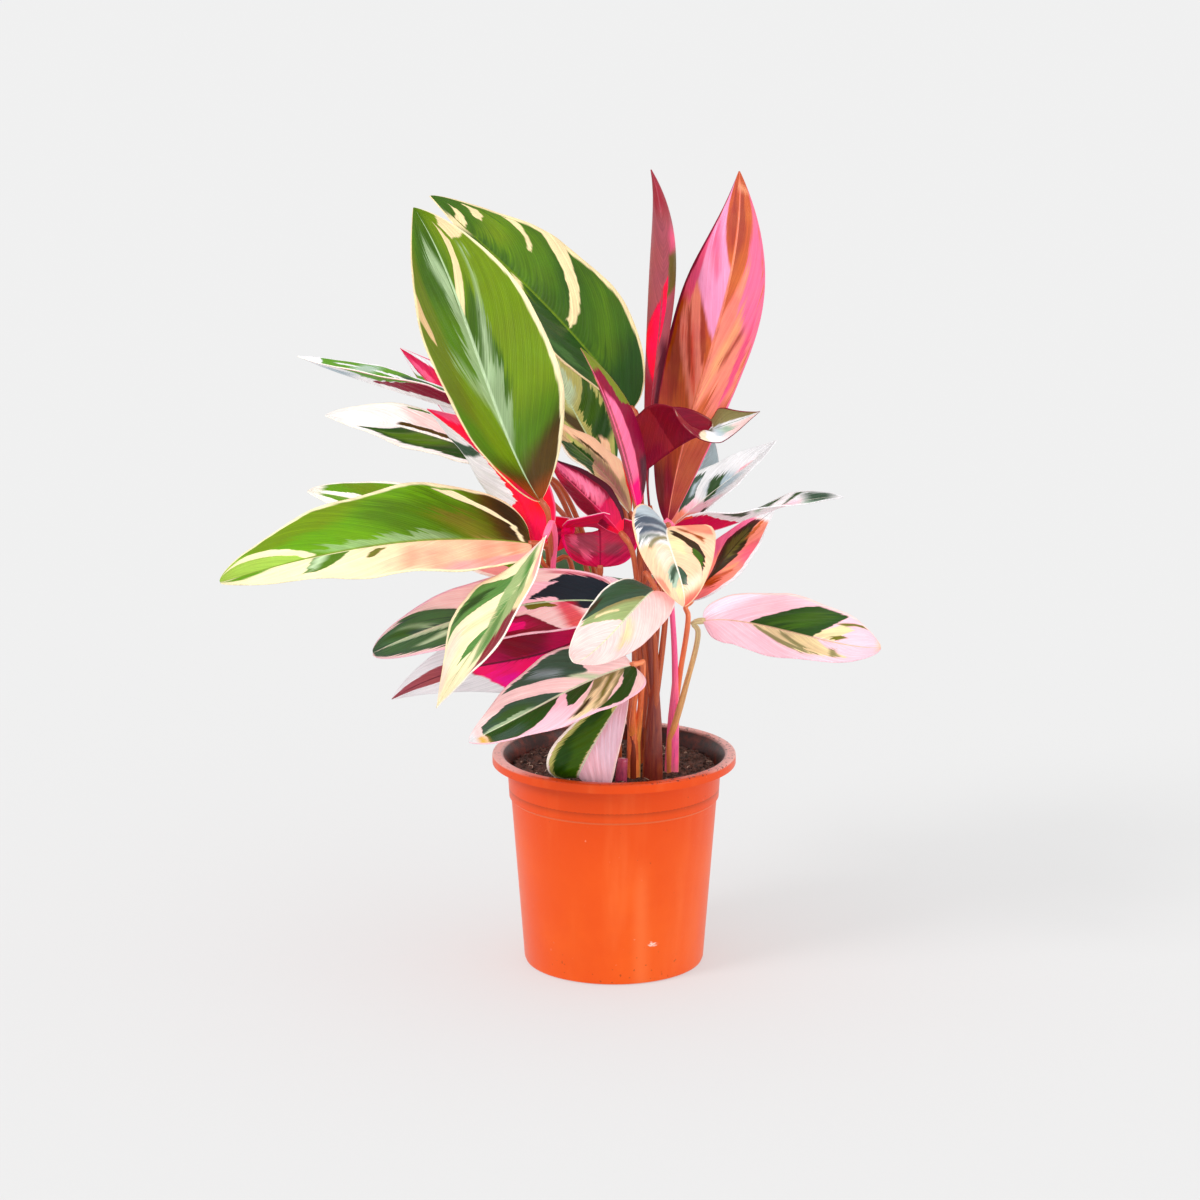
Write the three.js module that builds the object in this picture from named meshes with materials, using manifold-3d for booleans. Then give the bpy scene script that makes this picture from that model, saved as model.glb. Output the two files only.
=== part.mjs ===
// A potted tricolour stromanthe: an orange nursery pot full of peat, six clumps of upright
// stalks and the variegated leaves they carry. Millimetres, +Z up, the pot's base on z = 0,
// its axis on x = y = 0. The viewer of the plant's face stands on the -Y side.
import * as THREE from 'three';
import { mergeVertices } from 'three/addons/utils/BufferGeometryUtils.js';
import Module from 'manifold-3d';

const wasm = await Module();
wasm.setup();

// ---------------------------------------------------------------- driving dimensions
const POT_HEIGHT = 124;
const RIM_RADIUS = 70;
const RIM_INNER_RADIUS = 64.5;
const RIM_DROP = 5.4;             // height of the rolled lip's outer skirt
const LIP_THICKNESS = 1.5;
const WALL_RADIUS_TOP = 61.5;     // outside of the wall just under the lip
const STEP_RADIUS = 59.2;         // outside of the wall just under its small step
const STEP_DROP = 26.5;           // the step's depth below the rim
const BASE_RADIUS = 52;
const BASE_ROUNDING = 2.5;
const WALL_THICKNESS = 1.6;
const FLOOR_THICKNESS = 2.2;
const POT_SEGMENTS = 32;
const DRAIN_HOLES = 8;
const DRAIN_RADIUS = 3.5;
const DRAIN_RING = 40;

const SOIL_LEVEL = 115;
const SOIL_ROUGHNESS = 1.3;       // height of the crumbs on the soil's surface
const FIT_GAP = 0.4;              // air left between neighbouring pieces

const BLADE_THICKNESS = 0.8;
const BLADE_STEPS = 10;           // stations along a blade
const RIB_DEPTH = 1.1;            // how far the midrib stands out under the blade
const RIB_HALF_WIDTH = 1.8;
const FOOT_HALF_WIDTH = 1.7;      // half width of a blade where it meets its stalk
const TIP_HALF_WIDTH = 0.45;

const STALK_SIDES = 5;
const STALK_STEPS = 7;
const END_CROWDING = 1.6;         // over 1: steps crowd towards the end of a stalk
const STALK_DEPTH = 22;           // how deep a clump stands in the soil
const STALK_SPREAD = 0.5;         // share of the sheath's radius at which the stalks start
const STALK_START = 20;           // where the stalks begin inside the sheath, over the soil
const STALK_RADIUS = 1.6;
const JOINT_RADIUS = 1.9;         // the swollen joint just below a blade
const JOINT_LENGTH = 6;
const SHEATH_TOP = 60;            // height of a clump's sheath over the soil

// ---------------------------------------------------------------- clumps and leaves
// Each clump of stalks rises from `at` (x, y on the soil) with a sheath of the given radius.
const CLUMPS = {
  front: { at: [22, -26], radius: 5.8, lean: [1, 0], colour: 0x7a2a22 },
  side: { at: [11, -22], radius: 3.6, lean: [-1, -2], colour: 0xd07a52 },
  right: { at: [33, -12], radius: 4, lean: [2, -1], colour: 0xe0705c },
  rear_left: { at: [-11, 0], radius: 5, lean: [-4, -1], colour: 0x9a3a2c },
  rear: { at: [0, 19], radius: 5, lean: [-2, 0], colour: 0x9a3a2c },
  rear_right: { at: [19, 10], radius: 5, lean: [0, 0], colour: 0x8a3026 },
};

// The cut ends of old stalks left standing beside the clumps.
const STUBS = {
  stub_sheath: { at: [4, -31], radius: 3.6, top: 128, lean: [1, 1], colour: 0x93305a },
  stub_stalk: { at: [-4, -30], radius: 2.1, top: 125, lean: [2, 0], colour: 0xc8643a },
};

// A leaf's `rib` runs from its foot to its tip. `face` is where its upper side looks at one or
// more evenly spaced places from foot to tip. `wide` is its full width, reached at the share
// `belly` of its length; `full` under 1 squares its shoulders and `taper` draws out its tip. Seen
// on the upper side with the tip up, its left and right halves rise from the rib by `fold`
// degrees, a pair for each evenly spaced place, and curl by a further `curl` degrees towards the
// margin. `wave` lifts and drops the margins. `stalk` gives the points its stalk passes on the
// way up from its clump.
const LEAVES = {
  tall_front: {
    rib: [[-41, -45, 280], [-65, -37, 329], [-87, -18, 388], [-112, 2, 437]],
    face: [[0.65, -0.6, 0.5], [0.2, -0.9, 0.35]], wide: 83, belly: 0.44, full: 0.8,
    fold: [[23, 23]], wave: 1.2, clump: 'rear_left',
    stalk: [[-19, -5, 180], [-33, -9, 226], [-36, -36, 257]], colour: 0x4f8a1c,
  },
  tall_rear: {
    rib: [[10, 10, 322], [-23, 40, 359], [-63, 54, 398], [-106, 67, 436]],
    face: [[0.3, -0.7, 0.65], [0.6, -0.3, 0.75]], wide: 82, belly: 0.49, full: 0.66,
    fold: [[22, 20]], wave: 1.2, clump: 'rear_right',
    stalk: [[17, 12, 200], [15, 10, 280], [13, 7, 312]], colour: 0x3f7a1c,
  },
  wide_left: {
    rib: [[-47, -31, 253], [-103, -46, 258], [-159, -60, 253], [-216, -78, 241]],
    face: [[0.1, -0.5, 0.87]], wide: 75, belly: 0.35, full: 0.56,
    fold: [[15, 15]], wave: 1.8, clump: 'rear_left',
    stalk: [[-21, -1, 180], [-36, -6, 228], [-38, -22, 249]], colour: 0x5c9420,
  },
  left_behind: {
    rib: [[-38, 6, 225], [-81, 0, 248], [-129, 8, 265], [-175, 12, 274]],
    face: [[0.25, -0.5, 0.82]], wide: 54, belly: 0.4, full: 0.66,
    fold: [[8, 4]], wave: 1.2, clump: 'rear_left',
    stalk: [[-16, 2, 180], [-28, 6, 216]], colour: 0x4a8030,
  },
  upper_left: {
    rib: [[-65, 38, 306], [-100, 48, 318], [-140, 62, 328], [-185, 80, 341]],
    face: [[-0.1, 0.35, 0.9], [0.1, -0.35, 0.9]], wide: 34, belly: 0.5, full: 0.75,
    fold: [[40, 25]], wave: 0.6, clump: 'rear',
    stalk: [[-8, 29, 190], [-19, 35, 235], [-32, 38, 268], [-52, 36, 296]], colour: 0x466e48,
  },
  rear_left: {
    rib: [[-54, 50, 278], [-79, 66, 301], [-103, 84, 321], [-126, 104, 342]],
    face: [[0.5, 0.8, 0.2]], wide: 34, belly: 0.45, full: 0.75,
    fold: [[20, 20]], wave: 0.6, clump: 'rear',
    stalk: [[-3, 30, 190], [-13, 43, 232], [-35, 45, 260]], colour: 0xb02050,
  },
  left_mid: {
    rib: [[-48, 30, 283], [-88, 44, 295], [-129, 50, 306], [-167, 50, 311]],
    face: [[0.1, -0.4, 0.92]], wide: 43, belly: 0.51, full: 0.75,
    fold: [[5, 5]], wave: 1, clump: 'rear',
    stalk: [[-6, 33, 190], [-15, 38, 235], [-32, 33, 274]], colour: 0xd8a0a0,
  },
  red_behind: {
    rib: [[-43, -17, 247], [-57, -4, 279], [-79, 3, 303], [-106, 5, 323]],
    face: [[0.35, 0.9, 0.2], [0.45, 0.8, 0.4]], wide: 44, belly: 0.36, full: 0.8,
    fold: [[12, 12]], wave: 1, clump: 'rear_left',
    stalk: [[-17, -1, 180], [-32, -4, 224]], colour: 0xd0203c,
  },
  rolled_upright: {
    rib: [[20, 4, 266], [21, 0, 329], [27, -4, 397], [20, 4, 458]],
    face: [[0, 1, 0.1]], wide: 54, belly: 0.66, full: 0.9, fold: [[40, 40]], curl: [75, 75],
    wave: 0, clump: 'rear_right', stalk: [[20, 7, 200], [20, 4, 250]], colour: 0x7a2c30,
  },
  tall_right: {
    rib: [[30, 1, 257], [45, 15, 322], [63, 5, 390], [70, 25, 455]],
    face: [[-0.14, 0.98, -0.1], [-0.05, 0.99, -0.1]], wide: 58, belly: 0.55, full: 0.62, taper: 1.5,
    fold: [[32, 36]], wave: 1, clump: 'rear_right', stalk: [[25, 6, 200], [27, -2, 245]], colour: 0xc85030,
  },
  green_behind: {
    rib: [[-1, 34, 279], [-17, 46, 303], [-31, 58, 328], [-46, 66, 358]],
    face: [[0.5, -0.6, 0.6]], wide: 50, belly: 0.5, full: 0.75,
    fold: [[15, 15]], wave: 1, clump: 'rear_right', stalk: [[14, 20, 215], [4, 30, 268]], colour: 0x50663a,
  },
  peach_mid: {
    rib: [[9, 3, 263], [-5, 10, 284], [-22, 20, 298], [-39, 27, 315]],
    face: [[0.5, -0.45, 0.72]], wide: 36, belly: 0.49, full: 0.75,
    fold: [[15, 5]], wave: 1, clump: 'rear_right', stalk: [[13, 4, 205], [14, 3, 248]], colour: 0xd89478,
  },
  pink_mid: {
    rib: [[4, -24, 257], [-9, -16, 270], [-23, -8, 282], [-37, -1, 296]],
    face: [[0.3, 0.85, 0.3]], wide: 27, belly: 0.45, full: 0.75,
    fold: [[50, 20]], wave: 0.5, clump: 'front', stalk: [[16, -25, 200], [10, -26, 247]], colour: 0xd04a70,
  },
  rolled_centre: {
    rib: [[13, -31, 273], [6, -35, 301], [-4, -37, 333], [-19, -35, 364]],
    face: [[0.3, 0.9, 0.2]], wide: 46, belly: 0.42, full: 0.85, fold: [[40, 40]], curl: [75, 75],
    wave: 0, clump: 'front', stalk: [[20, -28, 200], [16, -30, 255]], colour: 0xa83458,
  },
  arched_right: {
    rib: [[15, -7, 288], [37, -14, 306], [55, -26, 317], [80, -45, 330]],
    face: [[-0.1, 0, 1], [0, 0, 1], [0.1, -0.6, 0.8]], wide: 56, belly: 0.27, full: 0.5, taper: 2.1,
    fold: [[40, 92], [40, 82], [-22, 60], [5, -40], [20, -47]], curl: [80, 0],
    wave: 0.6, clump: 'front',
    stalk: [[21, -21, 200], [13, -10, 262], [11, -5, 277]], colour: 0x8a2c34,
  },
  right_narrow: {
    rib: [[31, 15, 251], [49, 25, 265], [72, 45, 279], [95, 65, 294]],
    face: [[-0.3, -0.75, 0.5]], wide: 30, belly: 0.35, full: 0.75,
    fold: [[35, 35]], wave: 0.8, clump: 'rear_right', stalk: [[23, 12, 200], [27, 12, 242]], colour: 0xd8a8a4,
  },
  rear_right: {
    rib: [[37, 40, 247], [44, 46, 265], [51, 50, 282], [57, 54, 298]],
    face: [[0.2, -0.95, 0.1]], wide: 27, belly: 0.45, full: 0.75,
    fold: [[15, 15]], wave: 0.6, clump: 'rear_right', stalk: [[25, 20, 195], [35, 38, 238]], colour: 0x4a6450,
  },
  right_long: {
    rib: [[33, -10, 258], [57, -16, 258], [90, -26, 272], [127, -40, 281]],
    face: [[0, 0.35, 0.9], [0, 0.3, 0.95], [0.1, -0.5, 0.8]], wide: 34, belly: 0.4, full: 0.75,
    fold: [[35, 60], [25, 10], [10, 5]], wave: 0.8, clump: 'right',
    stalk: [[34, -13, 190], [29, -10, 252]], colour: 0x6a7a68,
  },
  right_under: {
    rib: [[44, -4, 214], [58, -8, 233], [72, -3, 249], [92, 12, 264]],
    face: [[0.5, 0.55, -0.65], [0.25, 0.83, -0.5]], wide: 29, belly: 0.47, full: 0.8,
    fold: [[0, 10]], wave: 0.8, clump: 'right', stalk: [[37, -11, 170], [42, -5, 206]], colour: 0xd06858,
  },
  centre_front: {
    rib: [[29, -54, 267], [30, -85, 262], [35, -105, 250], [37, -119, 237]],
    face: [[0.1, -0.4, 0.9], [-0.15, -0.45, 0.88]], wide: 52, belly: 0.3, full: 0.6,
    fold: [[14, 44], [22, 22]], wave: 0.8, clump: 'front',
    stalk: [[28, -25, 200], [31, -27, 246], [30, -42, 265]], colour: 0xe8c8a4,
  },
  right_pink: {
    rib: [[50, -29, 208], [80, -42, 209], [115, -66, 206], [146, -79, 205]],
    face: [[-0.14, -0.34, 0.93], [-0.2, -0.45, 0.87]], wide: 53, belly: 0.42, full: 0.5,
    fold: [[8, 8]], wave: 1, clump: 'right', stalk: [[40, -18, 165], [47, -27, 202]], colour: 0xe4a8ba,
  },
  centre_oval: {
    rib: [[22, -53, 231], [11, -75, 226], [-6, -95, 212], [-22, -122, 207]],
    face: [[0.18, -0.4, 0.9]], wide: 41, belly: 0.41, full: 0.5,
    fold: [[9, 9]], wave: 0.6, clump: 'front', stalk: [[23, -27, 190], [17, -30, 232], [18, -43, 238]],
    colour: 0xeac4c2,
  },
  lower_left: {
    rib: [[10, -43, 186], [-20, -66, 180], [-50, -86, 169], [-80, -96, 156]],
    face: [[-0.05, -0.57, 0.82]], wide: 54, belly: 0.3, full: 0.48, taper: 1.4,
    fold: [[8, 8]], wave: 1, clump: 'side', stalk: [[15, -27, 160], [16, -36, 186]], colour: 0x4c5c3c,
  },
  hanging_pot: {
    rib: [[8, -38, 170], [-6, -45, 150], [-18, -50, 129], [-19, -41, 121]],
    face: [[-0.25, -0.95, 0.15], [-0.2, -0.95, 0.1], [-0.1, -0.6, -0.8]], wide: 41, belly: 0.67, full: 0.48,
    fold: [[25, 0]], wave: 0.6, clump: 'side', stalk: [[10, -26, 145], [12, -30, 168]], colour: 0xc8a4a0,
  },
  hanging_left: {
    rib: [[-38, -58, 263], [-55, -83, 236], [-76, -91, 208], [-98, -86, 172]],
    face: [[-0.7, -0.45, 0.55], [-0.6, -0.65, 0.48]], wide: 55, belly: 0.5, full: 1,
    fold: [[22, 10]], wave: 1, clump: 'rear_left',
    stalk: [[-19, -6, 178], [-34, -13, 224], [-33, -36, 258], [-35, -50, 269]], colour: 0x9aa07a,
  },
  low_far_left: {
    rib: [[2, -34, 219], [-43, -36, 220], [-93, -42, 210], [-136, -32, 190]],
    face: [[-0.15, -0.75, 0.65]], wide: 42, belly: 0.4, full: 0.45,
    fold: [[6, 6]], wave: 1, clump: 'side', stalk: [[11, -22, 160], [10, -33, 214]], colour: 0x4a4a3c,
  },
  magenta_under: {
    rib: [[-8, -22, 204], [-45, -24, 187], [-85, -16, 177], [-127, -16, 159]],
    face: [[-0.1, 0.97, 0.1]], wide: 46, belly: 0.36, full: 0.7,
    fold: [[10, 12]], wave: 1, clump: 'side', stalk: [[7, -23, 160], [1, -24, 200]], colour: 0xa82452,
  },
  back_left_red: {
    rib: [[-35, 2, 241], [-35, 3, 253], [-36, 12, 257], [-38, 30, 250]],
    face: [[0, 1, 0], [0, 0.6, 0.8], [0, 0.2, 1]], wide: 26, belly: 0.4, full: 0.6,
    fold: [[8, 8]], wave: 0.5, clump: 'rear', stalk: [[-8, 18, 190], [-22, 6, 222], [-27, 3, 238]],
    colour: 0x8c1c40,
  },
  back_red: {
    rib: [[-8, -6, 234], [-8, -5, 252], [-9, 6, 259], [-11, 30, 250]],
    face: [[0, 1, 0], [0, 0.5, 0.87], [0, 0.1, 1]], wide: 44, belly: 0.35, full: 0.45,
    fold: [[5, 5], [-10, -10], [5, 5]], wave: 0.8, clump: 'rear', stalk: [[-6, 12, 190], [-8, -4, 222]],
    colour: 0x8c1c40,
  },
  back_low: {
    rib: [[14, 40, 196], [12, 74, 204], [8, 108, 200], [2, 140, 182]],
    face: [[0, 0, 1]], wide: 44, belly: 0.45, full: 0.6,
    fold: [[12, 12]], wave: 1, clump: 'rear_right', stalk: [[18, 24, 170], [16, 34, 192]], colour: 0x4c6a34,
  },
  back_right: {
    rib: [[36, 54, 247], [43, 76, 287], [51, 93, 327], [59, 104, 365]],
    face: [[-0.3, -0.8, 0.5]], wide: 42, belly: 0.5, full: 0.7,
    fold: [[15, 15]], wave: 1, clump: 'rear_right', stalk: [[23, 26, 185], [27, 42, 232]], colour: 0x5a7040,
  },
  back_left: {
    rib: [[-16, 40, 200], [-32, 72, 214], [-50, 100, 218], [-68, 122, 206]],
    face: [[0, 0, 1]], wide: 46, belly: 0.45, full: 0.6,
    fold: [[12, 12]], wave: 1, clump: 'rear', stalk: [[-6, 28, 172], [-12, 36, 196]], colour: 0x506c38,
  },
};

// ---------------------------------------------------------------- small helpers
const toRadians = THREE.MathUtils.degToRad;

/** A closed solid for cutting and joining, from a three.js geometry. */
function solidOf(geometry) {
  const bare = new THREE.BufferGeometry();
  bare.setAttribute('position', geometry.getAttribute('position').clone());
  if (geometry.index) bare.setIndex(geometry.index.clone());
  const merged = mergeVertices(bare, 1e-4);
  return new wasm.Manifold(new wasm.Mesh({
    numProp: 3,
    vertProperties: new Float32Array(merged.getAttribute('position').array),
    triVerts: new Uint32Array(merged.index.array),
  }));
}

/** The solid's surface as a geometry with flat triangles. */
function geometryOf(solid) {
  const mesh = solid.getMesh();
  const geometry = new THREE.BufferGeometry();
  geometry.setAttribute('position', new THREE.BufferAttribute(new Float32Array(mesh.vertProperties), 3));
  geometry.setIndex(new THREE.BufferAttribute(new Uint32Array(mesh.triVerts), 1));
  geometry.computeVertexNormals();
  return geometry;
}

/** A geometry from a list of Vector3 and a flat list of triangle corners. */
function geometryFrom(points, triangles) {
  const geometry = new THREE.BufferGeometry().setFromPoints(points);
  geometry.setIndex(triangles);
  geometry.computeVertexNormals();
  return geometry;
}

/** A list of numbers given at evenly spaced places, read at the share t between them. */
function along(lists, t) {
  const place = t * (lists.length - 1);
  const before = Math.min(Math.floor(place), Math.max(lists.length - 2, 0));
  const after = Math.min(before + 1, lists.length - 1);
  return lists[before].map((value, k) => THREE.MathUtils.lerp(value, lists[after][k], place - before));
}

const group = new THREE.Group();
group.name = 'potted_stromanthe';

function addMesh(name, geometry, colour, roughness) {
  const material = new THREE.MeshStandardMaterial({ color: colour, roughness });
  material.name = `${name}_material`;
  const mesh = new THREE.Mesh(geometry, material);
  mesh.name = name;
  group.add(mesh);
}

// ---------------------------------------------------------------- leaves
/** The cubic through a rib's four points, and its heading, at the share t of its length. */
function ribAt(rib, t) {
  const [foot, second, third, tip] = rib.map((point) => new THREE.Vector3(...point));
  const pullOut = foot.clone().multiplyScalar(-5).addScaledVector(second, 18)
    .addScaledVector(third, -9).addScaledVector(tip, 2).divideScalar(6);
  const pullIn = foot.clone().multiplyScalar(2).addScaledVector(second, -9)
    .addScaledVector(third, 18).addScaledVector(tip, -5).divideScalar(6);
  const curve = new THREE.CubicBezierCurve3(foot, pullOut, pullIn, tip);
  const slope = pullOut.clone().sub(foot).multiplyScalar(3 * (1 - t) ** 2)
    .addScaledVector(pullIn.clone().sub(pullOut), 6 * (1 - t) * t)
    .addScaledVector(tip.clone().sub(pullIn), 3 * t * t);
  return { point: curve.getPoint(t), heading: slope.normalize() };
}

/** Half the blade's width at the share t of its length. */
function halfWidth(leaf, t) {
  const towardsBelly = t ** (Math.log(0.5) / Math.log(leaf.belly));
  const sharpness = leaf.full * (towardsBelly < 0.5 ? 1 : leaf.taper ?? 1.15);
  const width = leaf.wide / 2 * Math.sin(Math.PI * towardsBelly) ** sharpness;
  return Math.max(width, THREE.MathUtils.lerp(FOOT_HALF_WIDTH, TIP_HALF_WIDTH, t));
}

/** A point of the blade's middle surface: t from foot to tip, v from -1 (left) to 1 (right). */
function bladePoint(leaf, t, v) {
  const { point, heading } = ribAt(leaf.rib, t);
  const up = new THREE.Vector3(...along(leaf.face, t));
  up.addScaledVector(heading, -up.dot(heading)).normalize();
  const right = heading.clone().cross(up);
  const half = halfWidth(leaf, t);
  const side = v < 0 ? 0 : 1;
  const fold = toRadians(along(leaf.fold, t)[side]);
  const curl = toRadians(leaf.curl ? leaf.curl[side] : 0);
  const reach = Math.abs(v);
  let out = reach * Math.cos(fold);
  let rise = reach * Math.sin(fold);
  if (curl > 0) {
    out = (Math.sin(fold + curl * reach) - Math.sin(fold)) / curl;
    rise = (Math.cos(fold) - Math.cos(fold + curl * reach)) / curl;
  }
  const phase = side === 0 ? 0 : 1.3;
  const wave = leaf.wave * Math.sin(6 * Math.PI * t + phase) * reach ** 2 * Math.sin(Math.PI * t);
  return point.addScaledVector(right, Math.sign(v) * out * half).addScaledVector(up, rise * half + wave);
}

/** A thin closed blade with a raised midrib under it, its two faces divided alike. */
function bladeGeometry(leaf) {
  const parts = leaf.curl ? 3 : Math.min(2, Math.round(leaf.wide / 24));
  const rows = [];
  for (let i = 0; i <= BLADE_STEPS; i += 1) {
    const share = i / BLADE_STEPS;
    const t = share - 0.09 * Math.sin(2 * Math.PI * share);
    const ribShare = Math.min(0.4, RIB_HALF_WIDTH / halfWidth(leaf, t));
    const places = [0];
    for (let k = 0; k <= parts; k += 1) {
      const v = ribShare + (1 - ribShare) * k / parts;
      places.push(v);
      places.unshift(-v);
    }
    rows.push({ t, places });
  }
  const columns = rows[0].places.length;
  const middle = columns >> 1;
  const points = [];
  for (const face of [1, -1]) {
    for (const { t, places } of rows) {
      places.forEach((v, column) => {
        const point = bladePoint(leaf, t, v);
        const ahead = bladePoint(leaf, Math.min(t + 0.01, 1), v).sub(bladePoint(leaf, Math.max(t - 0.01, 0), v));
        const across = bladePoint(leaf, t, Math.min(v + 0.02, 1)).sub(bladePoint(leaf, t, Math.max(v - 0.02, -1)));
        const normal = across.cross(ahead).normalize();
        const rib = face < 0 && column === middle ? RIB_DEPTH * (1 - 0.7 * t) : 0;
        points.push(point.addScaledVector(normal, face * BLADE_THICKNESS / 2 - rib));
      });
    }
  }
  const under = rows.length * columns;
  const at = (row, column) => row * columns + column;
  const triangles = [];
  const addQuad = (a, b, c, d) => triangles.push(a, b, c, a, c, d);
  for (let row = 0; row < BLADE_STEPS; row += 1) {
    for (let column = 0; column < columns - 1; column += 1) {
      const [a, b, c, d] = [at(row, column), at(row, column + 1), at(row + 1, column + 1), at(row + 1, column)];
      addQuad(a, b, c, d);
      triangles.push(under + a, under + c, under + b, under + a, under + d, under + c);
    }
    const last = columns - 1;
    addQuad(at(row, 0), at(row + 1, 0), under + at(row + 1, 0), under + at(row, 0));
    addQuad(at(row + 1, last), at(row, last), under + at(row, last), under + at(row + 1, last));
  }
  for (let column = 0; column < columns - 1; column += 1) {
    addQuad(at(0, column + 1), at(0, column), under + at(0, column), under + at(0, column + 1));
    const [a, b] = [at(BLADE_STEPS, column), at(BLADE_STEPS, column + 1)];
    addQuad(a, b, under + b, under + a);
  }
  return geometryFrom(points, triangles);
}

for (const [name, leaf] of Object.entries(LEAVES)) {
  addMesh(`leaf_${name}`, bladeGeometry(leaf), leaf.colour, 0.4);
}

// ---------------------------------------------------------------- stalks
/** A closed tube through the points, its radius read from a list along it, swollen by `grow`. */
function tubeSolid(path, radii, grow = 0) {
  const curve = new THREE.CatmullRomCurve3(path.map((point) => new THREE.Vector3(...point)), false, 'centripetal');
  const steps = [];
  for (let i = 0; i <= STALK_STEPS; i += 1) {
    steps.push(1 - (1 - i / STALK_STEPS) ** END_CROWDING);
  }
  const tangents = steps.map((t) => curve.getTangentAt(t));
  let side = new THREE.Vector3(1, 0, 0);
  const points = [];
  const triangles = [];
  for (let i = 0; i <= STALK_STEPS; i += 1) {
    const t = steps[i];
    const centre = curve.getPointAt(t);
    const radius = along(radii.map((value) => [value]), t)[0] + grow;
    side = side.clone().addScaledVector(tangents[i], -side.dot(tangents[i])).normalize();
    const other = tangents[i].clone().cross(side);
    for (let k = 0; k < STALK_SIDES; k += 1) {
      const angle = 2 * Math.PI * k / STALK_SIDES;
      points.push(centre.clone()
        .addScaledVector(side, radius * Math.cos(angle))
        .addScaledVector(other, radius * Math.sin(angle)));
    }
  }
  for (let i = 0; i < STALK_STEPS; i += 1) {
    for (let k = 0; k < STALK_SIDES; k += 1) {
      const [a, b] = [i * STALK_SIDES + k, i * STALK_SIDES + (k + 1) % STALK_SIDES];
      triangles.push(a, b, b + STALK_SIDES, a, b + STALK_SIDES, a + STALK_SIDES);
    }
  }
  const top = STALK_STEPS * STALK_SIDES;
  for (let k = 1; k < STALK_SIDES - 1; k += 1) {
    triangles.push(0, k + 1, k, top, top + k, top + k + 1);
  }
  return solidOf(geometryFrom(points, triangles));
}

/** The path of a leaf's stalk, from its place in the clump's sheath to just short of the foot. */
function stalkPath(leaf, turn) {
  const clump = CLUMPS[leaf.clump];
  const x = clump.at[0] + clump.radius * STALK_SPREAD * Math.cos(turn);
  const y = clump.at[1] + clump.radius * STALK_SPREAD * Math.sin(turn);
  const foot = ribAt(leaf.rib, 0);
  const joint = foot.point.clone().addScaledVector(foot.heading, -JOINT_LENGTH);
  const end = foot.point.clone().addScaledVector(foot.heading, -FIT_GAP);
  return [[x, y, SOIL_LEVEL + STALK_START], ...leaf.stalk, joint.toArray(), end.toArray()];
}

/** The sheath that wraps the feet of a clump's stalks. */
function sheathSolid(clump, grow = 0) {
  const [x, y] = clump.at;
  const [leanX, leanY] = clump.lean;
  const path = [
    [x, y, SOIL_LEVEL - STALK_DEPTH - grow],
    [x, y, SOIL_LEVEL],
    [x + leanX, y + leanY, SOIL_LEVEL + SHEATH_TOP],
  ];
  return tubeSolid(path, [clump.radius, clump.radius, clump.radius * 0.8, clump.radius * 0.35], grow);
}

const clumpHoles = [];
for (const [name, clump] of Object.entries(CLUMPS)) {
  const stalks = Object.values(LEAVES)
    .filter((leaf) => leaf.clump === name)
    .map((leaf, k, all) => tubeSolid(stalkPath(leaf, 2 * Math.PI * k / all.length), [
      STALK_RADIUS * 1.3, STALK_RADIUS * 1.2, STALK_RADIUS, STALK_RADIUS, STALK_RADIUS * 0.9, JOINT_RADIUS,
    ]));
  addMesh(`stalks_${name}`, geometryOf(wasm.Manifold.union([sheathSolid(clump), ...stalks])), clump.colour, 0.5);
  clumpHoles.push(sheathSolid(clump, FIT_GAP));
}

for (const [name, stub] of Object.entries(STUBS)) {
  const [x, y] = stub.at;
  const path = [[x, y, SOIL_LEVEL - STALK_DEPTH], [x, y, SOIL_LEVEL], [x + stub.lean[0], y + stub.lean[1], stub.top]];
  addMesh(name, geometryOf(tubeSolid(path, [stub.radius, stub.radius, stub.radius * 0.8])), stub.colour, 0.6);
  clumpHoles.push(tubeSolid(path, [stub.radius, stub.radius, stub.radius * 0.8], FIT_GAP));
}

// ---------------------------------------------------------------- pot
const stepHeight = POT_HEIGHT - STEP_DROP;
const lipBottom = POT_HEIGHT - RIM_DROP;
const lipUnderside = POT_HEIGHT - LIP_THICKNESS;

// The wall flares out just below the lip's skirt and carries on as the lip.
const potProfile = [
  [0, 0], [BASE_RADIUS - BASE_ROUNDING, 0], [BASE_RADIUS - 0.6, 0.8], [BASE_RADIUS, BASE_ROUNDING],
  [STEP_RADIUS, stepHeight], [STEP_RADIUS + 1.2, stepHeight + 1.2],
  [WALL_RADIUS_TOP, lipBottom - 0.6], [RIM_INNER_RADIUS + 1.1, lipUnderside],
  [RIM_RADIUS - LIP_THICKNESS, lipUnderside],
  [RIM_RADIUS - LIP_THICKNESS, lipBottom], [RIM_RADIUS, lipBottom],
  [RIM_RADIUS, POT_HEIGHT - 1.2], [RIM_RADIUS - 1.2, POT_HEIGHT],
  [RIM_INNER_RADIUS + 1, POT_HEIGHT], [RIM_INNER_RADIUS, POT_HEIGHT - 0.8],
  [WALL_RADIUS_TOP - WALL_THICKNESS, lipBottom - 0.4],
  [STEP_RADIUS + 1.2 - WALL_THICKNESS, stepHeight + 1.5],
  [STEP_RADIUS - WALL_THICKNESS, stepHeight - 1],
  [BASE_RADIUS - WALL_THICKNESS, FLOOR_THICKNESS + 2], [BASE_RADIUS - WALL_THICKNESS - 2, FLOOR_THICKNESS],
  [0, FLOOR_THICKNESS],
];

/** A closed turned body from a profile of [radius, height] that starts and ends on the axis. */
function turned(profile, segments) {
  return new THREE.LatheGeometry(profile.map(([radius, height]) => new THREE.Vector2(radius, height)), segments)
    .rotateX(Math.PI / 2);
}

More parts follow.
